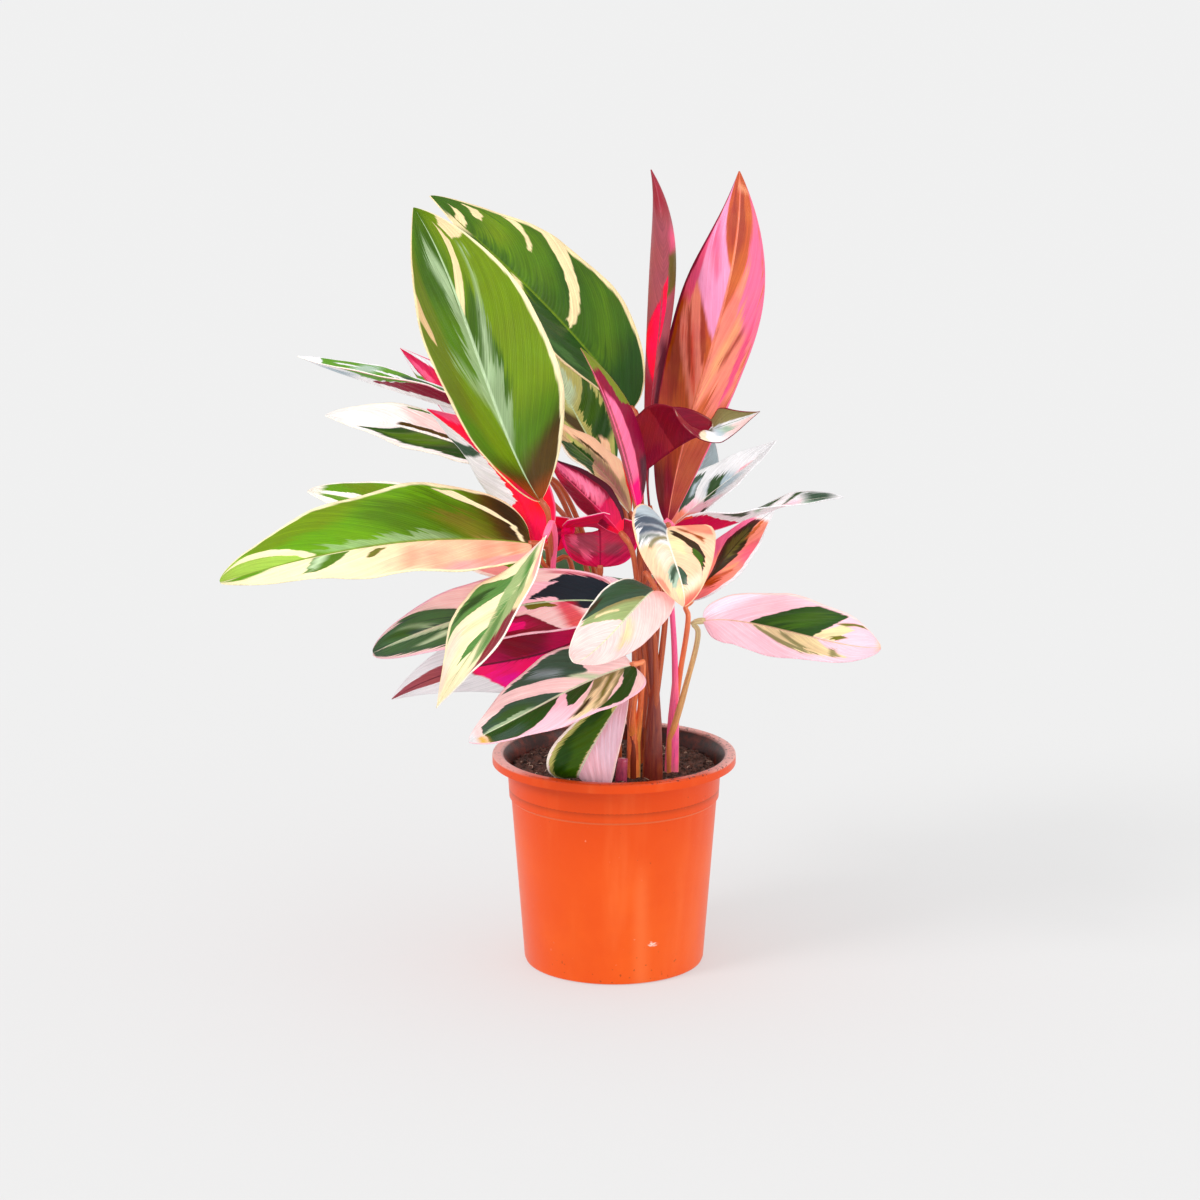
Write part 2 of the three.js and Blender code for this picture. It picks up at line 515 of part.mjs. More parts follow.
let pot = solidOf(turned(potProfile, POT_SEGMENTS));
for (let hole = 0; hole < DRAIN_HOLES; hole += 1) {
  const angle = 2 * Math.PI * (hole + 0.5) / DRAIN_HOLES;
  const drill = new THREE.CylinderGeometry(DRAIN_RADIUS, DRAIN_RADIUS, 4 * FLOOR_THICKNESS, 10)
    .rotateX(Math.PI / 2)
    .translate(DRAIN_RING * Math.cos(angle), DRAIN_RING * Math.sin(angle), 0);
  pot = pot.subtract(solidOf(drill));
}
addMesh('pot', geometryOf(pot), 0xf0561e, 0.45);

// ---------------------------------------------------------------- soil
const soilEdge = WALL_RADIUS_TOP - WALL_THICKNESS - 2 * FIT_GAP;
const soilProfile = [
  [0, FLOOR_THICKNESS + FIT_GAP],
  [BASE_RADIUS - WALL_THICKNESS - 2.3, FLOOR_THICKNESS + FIT_GAP],
  [BASE_RADIUS - WALL_THICKNESS - FIT_GAP, FLOOR_THICKNESS + 2.2],
  [STEP_RADIUS - WALL_THICKNESS - FIT_GAP, stepHeight - 1],
  [STEP_RADIUS + 1.2 - WALL_THICKNESS - FIT_GAP, stepHeight + 1.8],
  [soilEdge, SOIL_LEVEL - 3],
  [soilEdge - 2, SOIL_LEVEL - 0.5],
  [soilEdge - 12, SOIL_LEVEL],
  [soilEdge - 26, SOIL_LEVEL],
  [soilEdge - 43, SOIL_LEVEL],
  [0, SOIL_LEVEL],
];
const soilGeometry = turned(soilProfile, POT_SEGMENTS);
const soilPoints = soilGeometry.getAttribute('position');
for (let i = 0; i < soilPoints.count; i += 1) {
  const [x, y, z] = [soilPoints.getX(i), soilPoints.getY(i), soilPoints.getZ(i)];
  if (z > SOIL_LEVEL - 1) {
    const crumbs = Math.sin(0.31 * x + 1) * Math.cos(0.27 * y) + 0.6 * Math.sin(0.73 * x - 0.61 * y);
    soilPoints.setZ(i, z + SOIL_ROUGHNESS * 0.6 * crumbs);
  }
}
let soil = solidOf(soilGeometry);
for (const hole of clumpHoles) {
  soil = soil.subtract(hole);
}
addMesh('soil', geometryOf(soil), 0x2b1d16, 0.95);

export default group;
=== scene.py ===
"""A potted tricolour stromanthe: variegated blades over wine-red undersides, on stalks that rise from
peat in an orange nursery pot. Sizes in the tables are millimetres; the finished meshes are in metres,
+Z up, with the pot's base on z = 0 and the viewer of the plant's face on the -Y side."""
import math
import random

import bmesh
import bpy
from mathutils import Euler, Matrix, Vector, noise


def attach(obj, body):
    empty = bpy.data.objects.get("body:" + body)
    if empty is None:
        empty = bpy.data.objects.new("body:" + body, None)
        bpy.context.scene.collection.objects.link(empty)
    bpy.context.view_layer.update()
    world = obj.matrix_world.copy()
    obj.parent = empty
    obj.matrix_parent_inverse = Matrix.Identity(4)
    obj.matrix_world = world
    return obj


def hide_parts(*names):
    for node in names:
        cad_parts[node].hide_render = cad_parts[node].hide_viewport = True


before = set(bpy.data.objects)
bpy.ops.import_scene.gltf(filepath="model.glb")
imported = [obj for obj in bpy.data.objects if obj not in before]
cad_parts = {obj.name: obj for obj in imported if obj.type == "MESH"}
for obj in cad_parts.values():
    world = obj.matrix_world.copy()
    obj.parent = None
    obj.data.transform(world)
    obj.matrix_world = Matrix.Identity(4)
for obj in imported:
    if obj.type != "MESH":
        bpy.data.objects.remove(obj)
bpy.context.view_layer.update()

MM = 0.001

# ------------------------------------------------------------------ sizes of the pot and the soil
POT_HEIGHT = 124
RIM_RADIUS = 70
RIM_INNER_RADIUS = 64.5
RIM_DROP = 5.4
LIP_THICKNESS = 1.5
LIP_ROUNDING = 1.1
WALL_RADIUS_TOP = 61.5
STEP_RADIUS = 59.2
STEP_DROP = 26.5
STEP_WIDTH = 1.2
BASE_RADIUS = 52
BASE_ROUNDING = 2.5
WALL_THICKNESS = 1.6
FLOOR_THICKNESS = 2.2
DRAIN_HOLES = 8
DRAIN_RADIUS = 3.5
DRAIN_RING = 40
DRAIN_SIDES = 24
CUTTER_DEPTH = 20             # height of the cylinders that cut the drain holes
SCUFF = (22, 24)              # middle of the scuff on the pot's front: across, up
SCUFF_SIZE = (4.0, 2.6)
POT_STEPS = 144
POT_SHARP_ANGLE = 38          # edges of the pot that bend more than this stay sharp
SOIL_LEVEL = 115
SOIL_GAP = 0.3
SOIL_RINGS = 46
SOIL_STEPS = 180
SOIL_ROUGHNESS = 1.5
CRUMBS = 1500
CRUMB_RADIUS = 0.35           # of the smallest crumb; the largest adds CRUMB_GROWTH
CRUMB_GROWTH = 1.5
FIBRES = 90
FIBRE_LENGTHS = (1.5, 5)
SOIL_SEED = 11

# ------------------------------------------------------------------ sizes of blades and stalks
BLADE_THICKNESS = 0.55
BLADE_LENGTH_STEPS = 96
BLADE_WIDTH_STEPS = 34
FOOT_HALF_WIDTH = 1.7
TIP_HALF_WIDTH = 0.45
EDGE_ROUNDING = 0.15          # how far a blade's margin stays inside its full width
BLADE_END = 0.997             # share of the rib's length that the blade reaches
END_CROWDING = 0.09           # how much closer the blade's steps lie near its foot and tip
BROAD_HALF_WIDTH = 20         # from this half width on, a blade has its full pleats and crimps
RUFFLES = 3                   # waves along each margin
MARGIN_CRIMP = 0.35           # height of the small crimps of the margin
RIB_GROOVE = 0.5              # depth of the fold line along the rib
RIB_GROOVE_WIDTH = 1.4
SLIM_HALF_WIDTH = 6           # under this half width, the groove gets shallower
PLEATS = 9                    # soft pleats between the side veins along a blade
PLEAT_DEPTH = 0.3
SIDE_VEINS = 14               # pale side veins on each half of a blade
FINE_VEINS = 64               # fine parallel veins between them
PAINTED_GLOW = 0.10    # share of its own colour that a blade or stalk gives off as a painted glow
STALK_RADIUS = 1.6
JOINT_RADIUS = 1.9
JOINT_LENGTH = 6
STALK_SPREAD = 0.5
STALK_START = 20
STALK_DEPTH = 22
STALK_LAP = 1.2               # how far a stalk runs on under its blade
STALK_TAPER = (1.3, 1.2, 1, 1, 0.9)     # a stalk's radius from its foot up, as shares
STALK_STEPS = 44
STALK_SIDES = 12
BURIED_STEPS = 5
BURIED_RADIUS = 1.45 * STALK_RADIUS
BURIED_SPREAD = 0.8           # how much of their spread the stalks of a clump keep in the soil
SHEATH_TOP = 60               # how far a sheath stands out of the soil
SHEATH_TAPER = (1, 1, 0.8, 0.35)
STUB_TAPER = (1, 1, 0.8)
SHEATH_STEPS = 24
SHEATH_SIDES = 20
STUB_STEPS = 20
FLUTE_TWIST = 0.05            # how far a sheath's flutes turn from one step to the next
CURVE_STEPS = 16              # steps between two points of a smooth path, before it is evened out

# ------------------------------------------------------------------ light and camera
FLOOR_HALF_SIZE = 40          # metres
FLOOR_GREY = 0.35
FLOOR_GLOW = 0.4
STUDIO_LIGHT = 0.95
CAMERA_LENS = 105.34
CAMERA_SENSOR = 36
CAMERA_AT = (-8.1, -1948.7, 663.2)
CAMERA_DIP = 13               # how many degrees the camera looks down

# ------------------------------------------------------------------ leaf colours: (upper side, under side)
PALETTE = {
    "lime": ("688400", "8e2a44"),
    "grass": ("63941e", "8a2a40"),
    "green": ("4c7010", "7c1c38"),
    "moss": ("3a5c12", "701a34"),
    "fern": ("558240", "8a2a4c"),
    "forest": ("22440f", "5c1230"),
    "meadow": ("5f9030", "5f9030"),
    "pine": ("38503e", "38503e"),
    "jade": ("a4baa6", "a4baa6"),
    "sage": ("98ac74", "b04c70"),
    # Pale silvery green: the leaves' pale rib and herringbone, and in places a painted sheen along the rib.
    "silver": ("c2d8ae", "a4486a"),
    "night": ("141c26", "3c0c22"),
    "navy": ("3e4e60", "4c2038"),
    "steel": ("b0bec6", "b0bec6"),
    "snow": ("eae8ea", "eae8ea"),
    "straw": ("b8b66a", "a8685c"),
    "khaki": ("8a8054", "7a3a34"),
    "olive": ("6c6a22", "7a2e34"),
    "bronze": ("5c5422", "5c5422"),
    "bark": ("33230c", "33230c"),
    "umber": ("4a3408", "5a1824"),
    "rust": ("94400c", "b04a20"),
    "tan": ("cfae82", "b0604c"),
    "beige": ("ecd6a8", "e0a49a"),
    "gold": ("e0b450", "e0a848"),
    "cream": ("f5e6bc", "f2a4b6"),
    "ivory": ("fdf6e8", "f6b0c2"),
    "white": ("f8f2ee", "f6c8d6"),
    "peach": ("fccaa8", "f8a880"),
    "salmon": ("f69880", "e8604c"),
    "blush": ("f8d4d0", "f296ac"),
    "pink": ("fac6d2", "f486a8"),
    "lilac": ("fae2f0", "f0a8c8"),
    "rose": ("f4a0b0", "ee6486"),
    "pinkish": ("f6b8c4", "fa7c9e"),
    "hot": ("f4b8c4", "ff3474"),
    "fuchsia": ("f03c80", "ff3a98"),
    "scarlet": ("e8b0a8", "ff0a40"),
    "cherry": ("dc3448", "dc3448"),
    "ruby": ("b41a4c", "b41a4c"),
    "crimson": ("3c6428", "d01048"),
    "wine": ("3c6028", "861a36"),
    "maroon": ("2c4a22", "4c1024"),
    "dusk": ("4a6c34", "a0525a"),
    "brick": ("e9dcc0", "962e3a"),
    "amber": ("6c8c28", "cc6848"),
    "clay": ("587824", "ac5040"),
    "spring": ("9cbc52", "9a4058"),
    "coralpink": ("f6aca6", "fa8a88"),
    "garnet": ("7c1a2a", "7c1a2a"),
    "mauve": ("a85c68", "a85c68"),
    "reed": ("74822c", "74822c"),
    "coral": ("f6d0bc", "fa9482"),
    "orchid": ("f6dce4", "fba4ca"),
}

# ------------------------------------------------------------------ clumps and leaves
# Each clump of stalks rises from `at` (x, y on the soil) in a sheath of the given radius, whose top
# stands off from its foot by `lean` (x, y). `tint` colours the sheath.
CLUMPS = {
    "front": dict(at=(22, -26), radius=5.8, lean=(1, 0), tint="maroon"),
    "side": dict(at=(11, -22), radius=3.6, lean=(-1, -2), tint="coral"),
    "right": dict(at=(33, -12), radius=4, lean=(2, -1), tint="rose"),
    "rear_left": dict(at=(-11, 0), radius=5, lean=(-4, -1), tint="rust"),
    "rear": dict(at=(0, 19), radius=5, lean=(-2, 0), tint="rust"),
    "rear_right": dict(at=(19, 10), radius=5, lean=(0, 0), tint="rust"),
}

# The cut ends of old stalks left standing beside the clumps, each up to the height `top`.
STUBS = {
    "stub_sheath": dict(at=(4, -31), radius=3.6, top=128, lean=(1, 1), tint="plum"),
    "stub_stalk": dict(at=(-4, -30), radius=2.1, top=123, lean=(2, 0), tint="maroon"),
}

# Tints of stalks and sheaths, from the foot up to the blade.
STALK_TINTS = {
    "maroon": ("5c1c10", "7c2e1e", "8e3c2a"),
    "rust": ("7c2c12", "aa4c26", "b65430"),
    "rose": ("f2a868", "fa5c94", "ff6c94"),
    "coral": ("eea84c", "e2703c", "e88458"),
    "tan": ("e4884c", "d49c60", "c2ae7e"),
    "plum": ("6a1c2c", "962c4c", "b44a66"),
}

# A leaf's `rib` runs from its foot to its tip. `face` is where its upper side looks at evenly spaced
# places from foot to tip. `wide` is its full width, reached at the share `belly` of its length;
# `full` under 1 squares its shoulders and `taper` draws out its tip. Its left and right halves rise
# from the rib by the degrees of `fold`, a pair for each of its evenly spaced places. They curl by a
# further `curl` towards the margin, and `wave` lifts and drops the margins. Its stalk rises from
# `clump` through the points of `stalk` in the colours of `tint`. `veins` is how far a side vein runs
# forward on its way to the margin, and how it bends: over 1, it leaves the rib straight and turns
# forward later. `margins` are the left and right edge's colours and widths as shares of the half
# blade. `patches` are laid over the `base` one after another, each given in percent. A patch lies
# between two lines along the blade: 0 on the rib, 100 on the right margin, -100 on the left. First
# come the line it starts at and the line it ends at, then where along the blade it begins and ends on
# the first line, and where on the second (0 at the foot, 100 at the tip). Up to three more numbers
# say how ragged its ends are, how softly it fades, how strongly it covers.
# What a leaf doesn't give has its usual value.
USUAL_FULL = 0.75
USUAL_TAPER = 1.15
USUAL_CURL = (0, 0)
USUAL_WAVE = 1
USUAL_TINT = "rust"
PATCH_CORNERS = 6
USUAL_EDGE = [0.25, 0.0, 1.0]

LEAVES = {
    "tall_front": dict(
        rib=[[-41, -45, 280], [-65, -37, 329], [-87, -18, 388], [-112, 2, 437]],
        face=[[0.65, -0.6, 0.5], [0.2, -0.9, 0.35]], wide=83, belly=0.44, full=0.8, fold=[[23, 23]],
        wave=1.2, clump="rear_left", stalk=[[-19, -5, 180], [-33, -9, 226], [-36, -36, 257]],
        base="green", margins=("beige", "cream", 0.02, 0.06), rib_colour="silver", veins=(0.62, 1.05),
        # Its silver streaks along the rib are partly painted sheen.
        patches="""
            lime 16 100 30 95 36 100 30 80, moss 0 -80 60 90 70 95 30 60, moss 0 30 20 60 40 72 40 50,
            lime 0 -60 12 34 18 50 30 70, olive -55 -98 26 60 40 90 30 60 50,
            bark 25 100 6 13 6 30 30 70, umber 0 100 2 14 2 24 30 60, umber 0 -90 2 12 2 20 30 70,
            rust 0 100 -10 5 -10 6 10 50, rust 0 -80 -10 7 -10 12 10 50,
            cherry -68 -100 -10 8 -10 20 10 20, silver 0 20 20 44 30 58 120 50 45,
            silver 6 30 42 48 56 62 120 50 40, silver 10 56 50 53.5 78 82 110 30 50,
            silver 0 -20 24 62 38 72 120 40 45, silver -5 -42 64 76 78 90 130 50 60,
            silver -20 -50 36 42 46 52 140 50 40, beige 2 46 62 69 84 92 12,
            beige 55 100 84 90 84 94 10, tan -76 -96 54 58 62 70 10"""),
    "tall_rear": dict(
        rib=[[10, 10, 322], [-23, 40, 359], [-63, 54, 398], [-106, 67, 436]],
        face=[[0.3, -0.7, 0.65], [0.6, -0.3, 0.75]], wide=82, belly=0.49, full=0.66, fold=[[22, 20]],
        wave=1.2, clump="rear_right", stalk=[[17, 12, 200], [15, 10, 280], [13, 7, 312]], base="moss",
        margins=("beige", "beige", 0.05, 0.05), rib_colour="lime", veins=(0.36, 1.6), patches="""
            forest 0 100 -10 16 -10 26 30 70, forest -2 -100 20 56 10 50 30 60,
            forest 30 95 40 46 60 80 50 70, green 8 92 50 82 64 92 40 70, green 10 80 18 26 34 44 70 60,
            lime 20 80 70 78 78 86 50 70, wine -60 -85 18 30 22 38 20 30, lime -2 -28 60 76 50 60 30 40,
            beige 6 97 36 39 58 69 12, beige 50 92 64 65.5 75 79 12, beige 50 80 82 86 86 91 15,
            beige 3 42 84 89 90 94 15, beige -5 -90 58 63 38 44 12 10, beige -5 -100 82 90 84 90 20 30"""),
    "wide_left": dict(
        rib=[[-47, -31, 253], [-103, -46, 258], [-159, -60, 253], [-216, -78, 241]],
        face=[[0.1, -0.5, 0.87]], wide=75, belly=0.35, full=0.56, fold=[[15, 15]], wave=1.8,
        clump="rear_left", stalk=[[-21, -1, 180], [-36, -6, 228], [-38, -22, 249]], base="grass",
        # Its silver streaks along the rib are partly painted sheen.
        margins=("cream", "cream", 0.03, 0.04), rib_colour="lime", veins=(0.42, 1.1), patches="""
            green 0 80 10 42 16 60 30 80, lime 55 100 60 86 50 90 30 70, umber 0 100 -10 13 0 20 40 70,
            olive 2 50 12 20 18 34 60 60, bark 10 100 2 7 2 12 20 30, spring 0 100 72 110 95 120 20 30,
            silver 0 14 24 64 30 70 130 60 35, cream 0 -100 -10 110 -10 110 0,
            peach 0 -100 -10 42 -10 56 20 220, coralpink -66 -100 0 26 5 36 30 50,
            salmon -10 -90 12 17 15 22 40 60 70, salmon -25 -90 29 33 32 37 40 60 60,
            salmon -20 -85 38 41 42 45 40 50, salmon -10 -60 4 8 5 9 40 40,
            green -5 -70 59 71 72 76.5 12, silver -5 -60 66 70 73 75 60 20,
            olive -12 -36 47.5 51 53 56 12, grass -2 -50 84 94 94 102 50 20, cream 4 46 1.6 3 4.5 6.6 5,
            cream 44 90 4.3 6.4 23 30 5, cream 2 82 69.5 73 90 98.5 12"""),
    "left_behind": dict(
        rib=[[-38, 6, 225], [-81, 0, 248], [-129, 8, 265], [-175, 12, 274]], face=[[0.25, -0.5, 0.82]],
        wide=54, belly=0.4, full=0.66, fold=[[8, 4]], wave=1.2, clump="rear_left",
        stalk=[[-16, 2, 180], [-28, 6, 216]], base="grass", margins=("ivory", "ivory", 0.08, 0.08),
        rib_colour="sage", veins=(0.4, 1.2), patches="""
            lime 30 90 68 80 72 88 40 60, ivory 0 28 50 93 50 95 20, ivory -42 -100 -10 110 -10 110 20,
            cream 0 -42 30 80 30 83 20, coralpink -40 -100 -10 34 -10 36 20,
            ivory -100 100 94 110 93 110 10 20"""),
    "upper_left": dict(
        rib=[[-65, 38, 306], [-100, 48, 318], [-140, 62, 328], [-185, 80, 341]],
        face=[[-0.1, 0.35, 0.9], [0.1, -0.35, 0.9]], wide=34, belly=0.5, fold=[[40, 25]], wave=0.6,
        clump="rear", stalk=[[-8, 29, 190], [-19, 35, 235], [-32, 38, 268], [-52, 36, 296]],
        base="snow", margins=("ivory", "snow", 0.05, 0.06), rib_colour="snow", veins=(0.36, 1.5),
        patches="""
            wine -25 -100 16 66 16 42 10, meadow -50 -100 62 70 40 82 20, meadow 20 100 44 90 34 92 30,
            pine 30 90 40 62 34 56 50 50, snow 62 72 56 86 50 84 50 20, steel 20 -60 78 90 72 88 40 50,
            jade 40 90 70 78 66 74 40 30"""),
    "rear_left": dict(
        rib=[[-54, 50, 278], [-79, 66, 301], [-103, 84, 321], [-126, 104, 342]], face=[[0.5, 0.8, 0.2]],
        wide=34, belly=0.45, fold=[[20, 20]], wave=0.6, clump="rear",
        stalk=[[-3, 30, 190], [-13, 43, 232], [-35, 45, 260]], base="crimson",
        margins=("rose", "rose", 0.05, 0.05), rib_colour="rose", veins=(0.3, 1.3), patches="""
            snow 34 100 50 110 60 110 20, meadow 30 100 70 80 78 88 20,
            snow -62 -100 50 110 50 110 20 20, rose 10 -20 70 90 70 90 30 50"""),
    "left_mid": dict(
        rib=[[-48, 30, 283], [-88, 44, 295], [-129, 50, 306], [-167, 50, 311]],
        face=[[0.1, -0.4, 0.92]], wide=43, belly=0.51, fold=[[5, 5]], clump="rear",
        stalk=[[-6, 33, 190], [-15, 38, 235], [-32, 33, 274]], base="white",
        margins=("ivory", "ivory", 0.05, 0.06), rib_colour="ivory", veins=(0.36, 1.6), patches="""
            blush 10 80 30 56 34 66 40 50, forest -2 -80 14 62 22 84 12,
            green -10 -70 38 56 48 76 40 60, umber 7 20 36 64 40 62 20 10, green 86 100 50 62 46 66 10"""),
    "red_behind": dict(
        rib=[[-43, -17, 247], [-57, -4, 279], [-79, 3, 303], [-106, 5, 323]],
        face=[[0.35, 0.9, 0.2], [0.45, 0.8, 0.4]], wide=44, belly=0.36, full=0.8, fold=[[12, 12]],
        clump="rear_left", stalk=[[-17, -1, 180], [-32, -4, 224]], base="scarlet",
        margins=("rose", "snow", 0.04, 0.02), rib_colour="scarlet", veins=(0.3, 1.4), patches="""
            snow 16 100 26 110 28 110 12, pine 20 100 60 68 68 80 20 10,
            rose -30 -100 78 98 80 98 30 50, crimson 10 -40 62 70 70 78 30 60"""),
    "rolled_upright": dict(
        rib=[[20, 4, 266], [21, 0, 329], [27, -4, 397], [20, 4, 458]], face=[[0, 1, 0.1]], wide=54,
        belly=0.66, full=0.9, fold=[[40, 40]], curl=[75, 75], wave=0, clump="rear_right",
        stalk=[[20, 7, 200], [20, 4, 250]], base="dusk", margins=("maroon", "maroon", 0.04, 0.04),
        rib_colour="dusk", veins=(0.3, 1.2), patches="""
            dusk 50 100 28 42 28 44 10 40, maroon -10 -100 -10 50 -10 46 10 30,
            brick -10 50 -10 40 -10 40 10 40, brick 50 100 -10 36 -10 36 10 40,
            scarlet 62 0 46 50 38 62 6 10, scarlet 2 -14 46 64 58 68 5,
            brick 90 -90 88 110 84 110 10 50, bronze -16 -90 62 74 68 77 10 10,
            rose -20 -90 76 80 77 82 10 40"""),
    "tall_right": dict(
        rib=[[30, 1, 257], [45, 15, 322], [63, 5, 390], [70, 25, 455]],
        face=[[-0.14, 0.98, -0.1], [-0.05, 0.99, -0.1]], wide=58, belly=0.55, full=0.62, taper=1.5,
        fold=[[32, 36]], clump="rear_right", stalk=[[25, 6, 200], [27, -2, 245]], base="amber",
        margins=("pinkish", "wine", 0.04, 0.05), rib_colour="coral", veins=(0.5, 1.1), patches="""
            wine -100 100 -10 7 -10 7 10 40, maroon 40 100 4 16 4 18 20 60 80,
            brick 0 50 4 14 4 20 20 60, clay 0 -100 5 22 5 30 30 80, clay 55 96 30 50 30 60 30 50,
            rust 86 100 40 60 42 70 20 40, coral 4 80 32 44 50 76 40 20,
            salmon 8 60 36 38.5 50 56 60 30, coral 20 70 46 49 60 66 60 20,
            clay 12 62 45 50 66 72 40 10, clay 30 72 40 43 56 60 40 20, orchid 2 94 52 72 72 100 20 10,
            pinkish 30 80 68 74 80 88 40 40, rose 74 98 60 70 62 90 20 30, clay 5 50 76 90 86 98 40 40,
            coral -3 -72 32 60 50 86 40 30, peach -6 -62 36 44 56 68 60 40,
            coral -40 -95 30 50 36 70 40 30, clay -34 -70 44 47 56 60 40 20,
            pinkish -50 -95 58 80 50 96 50 40, pinkish -40 -95 62 66 74 90 40 20,
            amber -3 -50 66 94 80 96 40 40, clay -3 -34 72 94 84 97 40 50,
            rose -70 -86 34 50 40 60 50 30, peach 20 -90 94.5 96.5 94 95.5 10 10"""),
    "green_behind": dict(
        rib=[[-1, 34, 279], [-17, 46, 303], [-31, 58, 328], [-46, 66, 358]], face=[[0.5, -0.6, 0.6]],
        wide=50, belly=0.5, fold=[[15, 15]], clump="rear_right", stalk=[[14, 20, 215], [4, 30, 268]],
        base="straw", margins=("peach", "wine", 0.1, 0.16), rib_colour="silver", veins=(0.36, 1.5),
        patches="""
            moss 14 74 26 50 40 72 30, forest 20 80 16 34 26 46 30 50, silver -10 30 50 80 60 84 40 50,
            umber -4 -60 28 44 42 56 60 40, peach 30 60 10 26 10 20 20 20"""),
    "peach_mid": dict(
        rib=[[9, 3, 263], [-5, 10, 284], [-22, 20, 298], [-39, 27, 315]], face=[[0.5, -0.45, 0.72]],
        wide=36, belly=0.49, fold=[[15, 5]], clump="rear_right", stalk=[[13, 4, 205], [14, 3, 248]],
        base="tan", margins=("ivory", "peach", 0.08, 0.05), rib_colour="khaki", veins=(0.36, 1.5),
        patches="""
            peach 40 100 24 90 30 90 15 30, khaki 36 0 6 72 10 66 30 60, straw 10 32 64 78 62 82 30 40,
            cherry 72 100 2 20 2 44 10 40, umber 40 52 40 70 46 76 60 80,
            mauve 30 -60 0 52 0 34 30 90 70, forest 14 -84 48 72 34 78 12,
            moss -10 -60 52 66 48 66 40 60"""),
    "pink_mid": dict(
        rib=[[4, -24, 257], [-9, -16, 270], [-23, -8, 282], [-37, -1, 296]], face=[[0.3, 0.85, 0.3]],
        wide=27, belly=0.45, fold=[[50, 20]], wave=0.5, clump="front",
        stalk=[[16, -25, 200], [10, -26, 247]], base="wine", margins=("maroon", "pinkish", 0.06, 0.05),
        rib_colour="rose", veins=(0.3, 1.3), patches="""
            scarlet -100 100 -10 14 -10 15 10 30, crimson 2 40 8 40 10 30 20 50,
            crimson 10 90 76 100 78 100 20 80, crimson -2 -86 8 36 12 32 20 20,
            pinkish -6 -60 32 110 36 110 20 30 75, pink -20 -50 40 70 44 90 60 50,
            maroon -74 -100 10 110 10 110 10"""),
    "rolled_centre": dict(
        rib=[[13, -31, 273], [6, -35, 301], [-4, -37, 333], [-19, -35, 364]], face=[[0.3, 0.9, 0.2]],
        wide=46, belly=0.42, full=0.85, fold=[[40, 40]], curl=[75, 75], wave=0, clump="front",
        stalk=[[20, -28, 200], [16, -30, 255]], tint="maroon", base="wine",
        margins=("rose", "rose", 0.03, 0.03), rib_colour="pinkish", veins=(0.3, 1.2), patches="""
            dusk -8 60 16 72 16 70 5 40, pinkish -6 -30 8 74 10 64 5 30,
            hot -100 100 -10 10 -10 11 5 30, hot -30 20 2 20 2 16 5 40, maroon -40 -100 6 30 8 32 10 30,
            brick -10 40 74 80 74 80 10 30, peach 0 50 79 82 78 82 10 30,
            reed -100 100 86 110 86 110 10 20, reed -45 -100 64 88 58 88 10"""),
    "arched_right": dict(
        rib=[[15, -7, 288], [37, -14, 306], [55, -26, 317], [80, -45, 330]],
        face=[[-0.1, 0, 1], [0, 0, 1], [0.1, -0.6, 0.8]], wide=56, belly=0.27, full=0.5, taper=2.1,
        fold=[[40, 92], [40, 82], [-22, 60], [5, -40], [20, -47]], curl=[80, 0], wave=0.6,
        clump="front", stalk=[[21, -21, 200], [13, -10, 262], [11, -5, 277]], base="brick",
        margins=("garnet", "garnet", 0.03, 0.02), rib_colour="wine", veins=(0.4, 1.2), patches="""
            wine -30 30 0 20 0 20 10 70, garnet 100 -100 30 66 24 52 10, snow 100 -30 70 110 57 110 10,
            blush 20 100 72 98 82 100 20 60, khaki -22 -100 62 110 50 110 10 15,
            pine 30 -30 64 70 58 62 30 20, steel 60 -20 72 78 64 72 30 30, jade 10 60 72 80 78 86 30 40,
            snow -30 -66 56 62 50 54 10 10"""),
    "right_narrow": dict(
        rib=[[31, 15, 251], [49, 25, 265], [72, 45, 279], [95, 65, 294]], face=[[-0.3, -0.75, 0.5]],
        wide=30, belly=0.35, fold=[[35, 35]], wave=0.8, clump="rear_right",
        stalk=[[23, 12, 200], [27, 12, 242]], tint="rose", base="snow",
        margins=("snow", "snow", 0.05, 0.05), rib_colour="ivory", veins=(0.4, 1.2), patches="""
            pink -40 90 10 30 10 42 30 50, salmon -40 100 -10 20 -10 24 10 30,
            steel 60 -30 38 66 42 62 50 50, forest 38 -42 32 42 48 62 30 10,
            pine -26 -85 16 32 36 50 15, steel -40 -70 30 34 38 44 30 30, rose -10 10 66 74 70 80 40 60,
            bark 75 100 24 28 24 30 10 10"""),
    "rear_right": dict(
        rib=[[37, 40, 247], [44, 46, 265], [51, 50, 282], [57, 54, 298]], face=[[0.2, -0.95, 0.1]],
        wide=27, belly=0.45, fold=[[15, 15]], wave=0.6, clump="rear_right",
        stalk=[[25, 20, 195], [35, 38, 238]], base="steel", margins=("snow", "snow", 0.05, 0.05),
        rib_colour="steel", veins=(0.4, 1.2), patches="""
            navy 10 90 20 50 30 60 50 60 60, pine -10 -60 20 40 30 50 60 40 50,
            snow -60 -100 40 110 40 110 30 30, jade 5 40 50 56 60 70 60 30"""),
    "right_long": dict(
        rib=[[33, -10, 258], [57, -16, 258], [90, -26, 272], [127, -40, 281]],
        face=[[0, 0.35, 0.9], [0, 0.3, 0.95], [0.1, -0.5, 0.8]], wide=34, belly=0.4,
        fold=[[35, 60], [25, 10], [10, 5]], wave=0.8, clump="right",
        stalk=[[34, -13, 190], [29, -10, 252]], tint="rose", base="snow",
